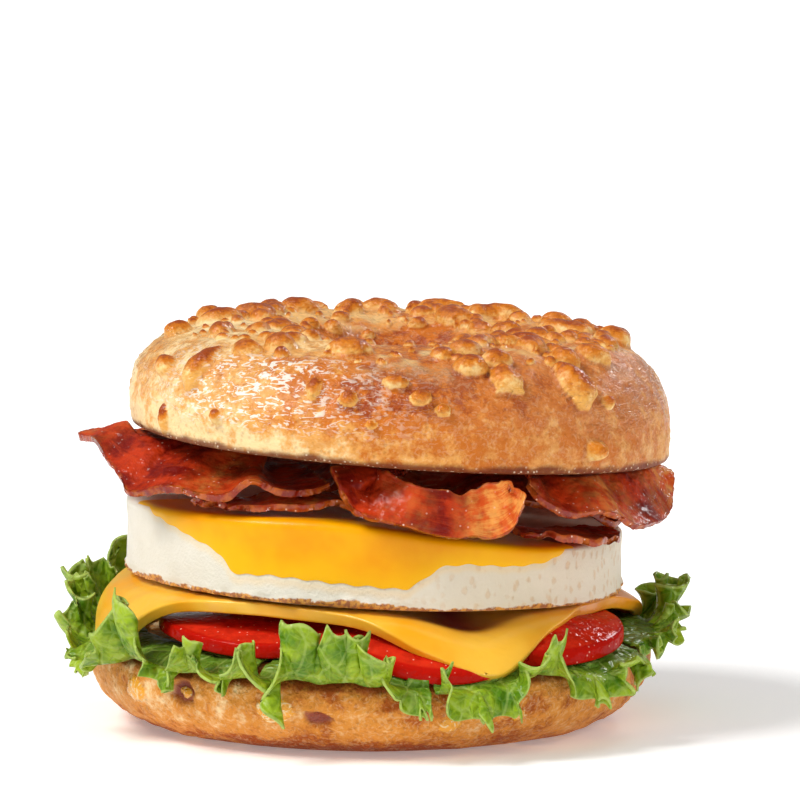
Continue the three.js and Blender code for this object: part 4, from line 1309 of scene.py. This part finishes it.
def crust_material(name):
    """Glazed crust: pale at the sides, golden and brown on top, with baked cheese and painted highlights on
    it.
    """
    material, tree, surface = new_material(name)
    place = millimetres(tree)
    mottle, pores, relief, flakes = use_effect(tree, CRUST_GRAIN, place)
    on_nub = step_between(tree, read_number(tree, "nub"), 0.1, 0.35)
    nubbed = cheese_nubs(tree, baked_crust(tree, mottle, flakes), mottle, on_nub)
    pitted = over(tree, frothy_rim(tree, nubbed, mottle, place), "8A440C", pores, 0.2)
    crackle = cloud(tree, millimetres(tree, (0.5, 0.5, 1.3)), 1.1, 2.0, 0.55, 1.5)
    # Painted highlights: white crackle glints laid into the colour where the crown is lit, and made glossy
    # there as well.
    painted_sparks = multiply(tree, step_between(tree, crackle, 0.53, 0.6), read_number(tree, "lit"))
    glaze = multiply(tree, read_number(tree, "glaze"), step_between(tree, mottle, 0.35, 0.6))
    shiny = calculate(tree, "MAXIMUM", multiply(tree, on_nub, 0.4), calculate(tree, "MAXIMUM", glaze, painted_sparks))
    crackled = bumped(tree, crackle, 0.8, scaled(tree, glaze, 0.6, 0.2))
    normal = bumped(tree, relief, 0.4, 0.5, crackled)
    set_inputs(surface, Base_Color=over(tree, pitted, "FFFAEE", painted_sparks, 0.9), Normal=normal,
               Roughness=scaled(tree, mottle, 0.4, 0.35), Specular_IOR_Level=0.12,
               Coat_Weight=shiny, Coat_Roughness=0.1, Coat_IOR=1.5, Coat_Normal=normal)
    return material


def heel_material(name):
    """Paler crust with a few pits and bits of cheese."""
    material, tree, surface = new_material(name)
    mottle, pores, relief, flakes = use_effect(tree, CRUST_GRAIN, millimetres(tree))
    # This share carries painted shade as well as baking: the heel is browner on its right side.
    bake = calculate(tree, "ADD", read_number(tree, "bake"), scaled(tree, mottle, 1.5, -0.82))
    tan = blend(tree, bake, 0.1, 0.5, "FDDCA8", "E2943A")
    golden = blend(tree, bake, 0.5, 0.95, tan, "AC500E")
    flaked = over(tree, golden, "FBDDAC", flakes, 0.25)
    pit = step_between(tree, read_number(tree, "pit"), 0.0, 0.75)
    pitted = over(tree, flaked, "90381A", pit)
    bit = step_between(tree, read_number(tree, "nub"), 0.1, 0.4)
    cheesy = over(tree, pitted, mix_colours(tree, flakes, "F2A41C", "F9DCA4"), bit)
    toasted = over(tree, cheesy, "9A4A18", read_number(tree, "rim"), step_between(tree, mottle, 0.3, 0.6))
    normal = bumped(tree, relief, 0.6, 0.7)
    shiny = calculate(tree, "MAXIMUM", calculate(tree, "MAXIMUM", pit, bit), 0.1)
    set_inputs(surface, Base_Color=over(tree, toasted, "8A4210", pores, 0.2), Normal=normal,
               Roughness=scaled(tree, mottle, 0.3, 0.5), Specular_IOR_Level=0.15,
               Coat_Weight=shiny, Coat_Roughness=0.12, Coat_Normal=normal)
    return material


def egg_white_material():
    """Matt white with golden lace at its foot, and brownish pits on the right."""
    material, tree, surface = new_material("egg white")
    place = millimetres(tree)
    uneven = cells(tree, millimetres(tree, (1, 1, 0.75)), 1.9)
    spots = scaled(tree, cloud(tree, place, 1.6, 2.0), 0.7, uneven)
    right = read_number(tree, "pitted")
    pitted = multiply(tree, step_between(tree, spots, 0.76, 0.5), right)
    base = mix_colours(tree, cloud(tree, place, 6.0, 4.0, 0.6), "EFEADD", "E0D8C6")
    creamy = over(tree, base, "EAD4B0", right, 0.4)
    tinted = over(tree, creamy, "F8C65A", read_number(tree, "near_yolk"), 0.25)
    spotted = over(tree, tinted, "D8A868", pitted, 0.38)
    ragged = multiply(tree, read_number(tree, "lace"), cloud(tree, place, 1.5, 3.0))
    golden = blend(tree, cloud(tree, place, 0.9), 0.42, 0.58, "E0982A", "A4560E")
    laced = over(tree, spotted, golden, step_between(tree, ragged, 0.2, 0.34), 0.9)
    topside = read_number(tree, "topside")
    fine = cloud(tree, place, 0.6, 2.0)
    # Painted shade and bacon reflection, reddish brown, laid over the top of the white.
    set_inputs(surface, Base_Color=over(tree, laced, "B2501E", topside, 0.85), Specular_IOR_Level=0.12,
               Roughness=scaled(tree, topside, 0.4, scaled(tree, fine, 0.2, 0.35)),
               Normal=bumped(tree, scaled(tree, pitted, -0.8, fine), 0.3, 0.6),
               Subsurface_Weight=0.2, Subsurface_Scale=0.001, Subsurface_Radius=(1.0, 0.9, 0.75))
    return material


def yolk_material():
    """Deep yellow, lighter at its edge."""
    material, tree, surface = new_material("yolk")
    place = millimetres(tree)
    deep = blend(tree, cloud(tree, place, 14.0, 3.0, 0.6), 0.3, 0.7, "FFB800", "F8A000")
    grain = cloud(tree, place, 0.35, 3.0, 0.6)
    normal = bumped(tree, grain, 0.1, 0.5)
    painted = mix_colours(tree, read_number(tree, "thick"), "FFBE00", deep)
    set_inputs(surface, Base_Color=painted, Normal=normal,
               Roughness=scaled(tree, grain, 0.2, 0.28), Specular_IOR_Level=0.12,
               Coat_Weight=0.15, Coat_Roughness=0.08, Coat_Normal=normal)
    return material


def cheese_material():
    """Waxy orange cheese, painted a deeper orange at its right tip to stand in for light there, and with
    painted shade in the gap under the egg.
    """
    material, tree, surface = new_material("melted cheese")
    place = millimetres(tree)
    painted = blend(tree, cloud(tree, place, 16.0, 3.0, 0.5), 0.35, 0.65, "FFC640", "FAAE1C")
    # Deeper orange painted on the right tip, standing in for the light it would catch.
    tip_painted_light = over(tree, painted, "FF9204", read_number(tree, "warm"), 0.7)
    grain = cloud(tree, place, 0.4, 3.0, 0.6)
    waved = bumped(tree, cloud(tree, place, 5.0, 2.0, 0.5), 0.5, 0.5)
    normal = bumped(tree, grain, 0.05, 0.4, waved)
    # Painted shade: dark red-brown in the gap under the egg.
    set_inputs(surface, Base_Color=over(tree, tip_painted_light, "7A1A0C", read_number(tree, "shaded")), Normal=normal,
               Roughness=scaled(tree, grain, 0.2, 0.22), Specular_IOR_Level=0.3,
               Subsurface_Weight=0.15, Subsurface_Scale=0.002, Subsurface_Radius=(1.0, 0.6, 0.1),
               Coat_Weight=0.3, Coat_Roughness=0.12, Coat_Normal=normal)
    return material


def painted_drop_glints(tree, below, tint, size, low, share):
    """Painted glints of small drops."""
    return over(tree, below, tint, step_between(tree, cells(tree, millimetres(tree), size), low, 0.07), share)


def tomato_material(name):
    """Wet cut face with paler walls inside a dark glossy skin."""
    material, tree, surface = new_material(name + " flesh")
    place = millimetres(tree)
    near = read_number(tree, "rim")
    flesh = blend(tree, cloud(tree, place, 3.0, 4.0, 0.6), 0.35, 0.65, "D82814", "B0140A")
    walls = over(tree, flesh, "DC3C20", step_between(tree, near, 0.72, 0.9), 0.35)
    skin = blend(tree, near, 0.955, 0.98, walls, "BC160A")
    beads, roughness = use_effect(tree, GLISTEN, place, 1.1)
    normal = bumped(tree, beads, 0.3, 0.6)
    # Painted glints of drops laid over the red.
    set_inputs(surface, Base_Color=painted_drop_glints(tree, skin, "F8BCA8", 1.5, 0.16, 0.7), Normal=normal,
               Roughness=calculate(tree, "ADD", roughness, 0.15), Specular_IOR_Level=0.0,
               Coat_Weight=0.35, Coat_Roughness=0.04, Coat_IOR=1.3, Coat_Normal=normal)
    return material


def lettuce_material():
    """Waxy leaf, with pale veins that fan out to its toothed edge, and painted shade on the part that lies
    flat on the heel.
    """
    material, tree, surface = new_material("lettuce leaf")
    place = millimetres(tree)
    outward = add_node(tree, "SeparateXYZ", add_node(tree, "UVMap").outputs[0]).outputs[1]
    mottle = cloud(tree, place, 5.0, 4.0, 0.6)
    green = blend(tree, mottle, 0.3, 0.7, "4A7A0C", "A4BE26")
    # Painted shade: darker green on the part of the leaf that lies on the heel under the layers.
    inner = blend(tree, outward, 0.6, 0.3, green, "5E8220")
    veins = cells(tree, place, 2.4, "DISTANCE_TO_EDGE")
    ribs = cells(tree, millimetres(tree, (1, 1, 0.6)), 5.5, "DISTANCE_TO_EDGE")
    veined = over(tree, inner, "A9C25E", step_between(tree, veins, 0.07, 0.02), 0.15)
    ribbed = over(tree, veined, "B2C86A", step_between(tree, ribs, 0.06, 0.02), 0.35)
    edged = over(tree, ribbed, "BCD06E", step_between(tree, outward, 0.972, 0.992), 0.6)
    relief = scaled(tree, step_between(tree, veins, 0.0, 0.35), 0.7, mottle)
    relief = scaled(tree, step_between(tree, ribs, 0.0, 0.3), 0.9, relief)
    set_inputs(surface, Base_Color=edged, Normal=bumped(tree, relief, 0.7, 0.7),
               Roughness=scaled(tree, mottle, 0.2, 0.24), Specular_IOR_Level=0.28,
               Subsurface_Weight=0.08, Subsurface_Scale=0.0008, Subsurface_Radius=(0.5, 1.0, 0.1))
    return material


def bacon_material(name):
    """Lean and fat in bands along the rasher, browned at its rim, under a film of fat."""
    material, tree, surface = new_material(name + " rasher")
    place = millimetres(tree)
    streaks = add_node(tree, "Mapping", add_node(tree, "UVMap").outputs[0], None, None, (7, 16, 1)).outputs[0]
    fibre = cloud(tree, streaks, 1.0, 4.0, 0.6, 1.2)
    mottle = cloud(tree, place, 6.0, 4.0, 0.6)
    lean = blend(tree, mottle, 0.36, 0.64, "760E04", "C2360E")
    grained = over(tree, lean, "E25420", step_between(tree, fibre, 0.5, 0.72), 0.25)
    fat_mottle = scaled(tree, fibre, 0.35, multiply(tree, cloud(tree, place, 2.6), 0.65))
    fat = blend(tree, fat_mottle, 0.38, 0.6, "F6A850", "DE5616")
    fatty = over(tree, grained, fat, read_number(tree, "fat"), step_between(tree, mottle, 0.15, 0.45), 0.85)
    edge = read_number(tree, "edge")
    rind = blend(tree, cloud(tree, place, 2.2, 3.0, 0.6), 0.4, 0.65, "8A1E06", "C0641E")
    edged = over(tree, fatty, rind, step_between(tree, edge, 0.6, 0.95), 0.7)
    beads, roughness = use_effect(tree, GLISTEN, place, 1.2)
    normal = bumped(tree, scaled(tree, fibre, 0.3, beads), 0.45, 0.6)
    # Painted glints of drops, more of them along the rim.
    glint_share = scaled(tree, edge, 0.5, 0.3)
    set_inputs(surface, Base_Color=painted_drop_glints(tree, edged, "FCDCC8", 1.7, 0.15, glint_share), Normal=normal,
               Roughness=calculate(tree, "ADD", roughness, 0.3), Specular_IOR_Level=0.1,
               Coat_Weight=scaled(tree, edge, 0.4, 0.3), Coat_Roughness=0.05, Coat_Normal=normal)
    return material


# The photograph's view: a point on the sandwich's axis and where it falls in the picture
PHOTO_SIDE = 800
PHOTO_SCALE = 5.14
AIM_HEIGHT = 40
AIM_PIXEL = (370, 515)
CAMERA_ELEVATION = 7
CAMERA_DISTANCE = 1200
SENSOR = 36

# Glow of the world and of the floor, how far off the lamps stand, and the height that they aim at
WORLD_STRENGTH = 0.2
FLOOR_GLOW = 0.22
LIGHT_DISTANCE = 900
LIGHT_AIM_HEIGHT = 40


def add_to_scene(name, data):
    thing = bpy.data.objects.new(name, data)
    bpy.context.scene.collection.objects.link(thing)
    return thing


def place_camera():
    """Camera at the photograph's angle, turned so that the sandwich falls where it does in the picture."""
    tilt = math.radians(CAMERA_ELEVATION)
    right = (PHOTO_SIDE / 2 - AIM_PIXEL[0]) / PHOTO_SCALE
    up = (AIM_PIXEL[1] - PHOTO_SIDE / 2) / PHOTO_SCALE
    away = CAMERA_DISTANCE * math.cos(tilt)
    data = bpy.data.cameras.new("photo camera")
    data.sensor_width = SENSOR
    data.lens = SENSOR * CAMERA_DISTANCE * PHOTO_SCALE / PHOTO_SIDE
    data.clip_end = 100
    camera = add_to_scene("photo camera", data)
    camera.location = (AXIS + np.array([0, -away, AIM_HEIGHT + CAMERA_DISTANCE * math.sin(tilt)])) * MM
    pitch = math.pi / 2 - tilt + math.atan2(up, CAMERA_DISTANCE)
    camera.rotation_euler = (pitch, 0, -math.atan2(right, CAMERA_DISTANCE))
    bpy.context.scene.camera = camera


def make_floor():
    clear_selection()
    bpy.ops.mesh.primitive_plane_add(size=40)
    floor = named("studio_floor")
    material, tree, surface = new_material("pale floor")
    grain = cloud(tree, millimetres(tree), 30.0, 3.0)
    set_inputs(surface, Base_Color=mix_colours(tree, grain, "FBFBFB", "FFFFFF"), Roughness=0.9,
               Specular_IOR_Level=0.0, Emission_Color="FFFFFF", Emission_Strength=FLOOR_GLOW)
    floor.data.materials.append(material)


def light_world():
    """Even pale surroundings, which look white behind the sandwich."""
    world = bpy.data.worlds.new("studio")
    world.use_nodes = True
    tree = world.node_tree
    background = tree.nodes["Background"]
    set_inputs(background, Color="FFFFFF", Strength=WORLD_STRENGTH)
    seen = add_node(tree, "Background", "FFFFFF", 1.0)
    mixed = add_node(tree, "MixShader", add_node(tree, "LightPath").outputs["Is Camera Ray"],
                     background.outputs[0], seen.outputs[0])
    set_inputs(tree.nodes["World Output"], Surface=mixed.outputs[0])
    bpy.context.scene.world = world
    bpy.context.scene.view_settings.view_transform = "Standard"


def add_light(name, kind, azimuth, elevation, energy, tint, glossy=True, **settings):
    """A light aimed at the sandwich, its azimuth counted like a bearing."""
    data = bpy.data.lights.new(name, kind)
    data.energy = energy
    data.color = tint
    set_all(data, settings)
    light = add_to_scene(name, data)
    light.visible_glossy = glossy
    tilt = math.radians(elevation)
    away = round_the_axis(azimuth, math.cos(tilt), math.sin(tilt))
    light.location = (away * LIGHT_DISTANCE + np.array([0, 0, LIGHT_AIM_HEIGHT])) * MM
    light.rotation_euler = (math.pi / 2 - tilt, 0, math.radians(azimuth))


def light_studio():
    """A soft key from the left, fills that leave no glints, and a small lamp behind for the edges."""
    warm = (1, 0.995, 0.98)
    add_light("key light", "SUN", -64, 50, 2.44, warm, angle=math.radians(24))
    add_light("front fill", "SUN", 12, 32, 0.9, warm, glossy=False, angle=math.radians(110))
    add_light("right softbox", "AREA", 78, 30, 1.0, (1, 0.99, 0.97), glossy=False, shape="DISK", size=0.2)
    add_light("back edge", "AREA", 150, 28, 1.1, (1, 1, 1), shape="DISK", size=0.15)
    light_world()


AXIS = frame_axis()
CRUST_GRAIN = crust_grain_effect()
GLISTEN = glisten_effect()

make_floor()
place_camera()
light_studio()
make_crown()
make_heel()
make_egg()
make_cheese()
make_tomatoes()
for leaf_name, leaf_values in LEAVES.items():
    make_leaf(leaf_name, leaf_values)
for rasher_name, rasher_values in RASHERS.items():
    make_rasher(rasher_name, rasher_values)
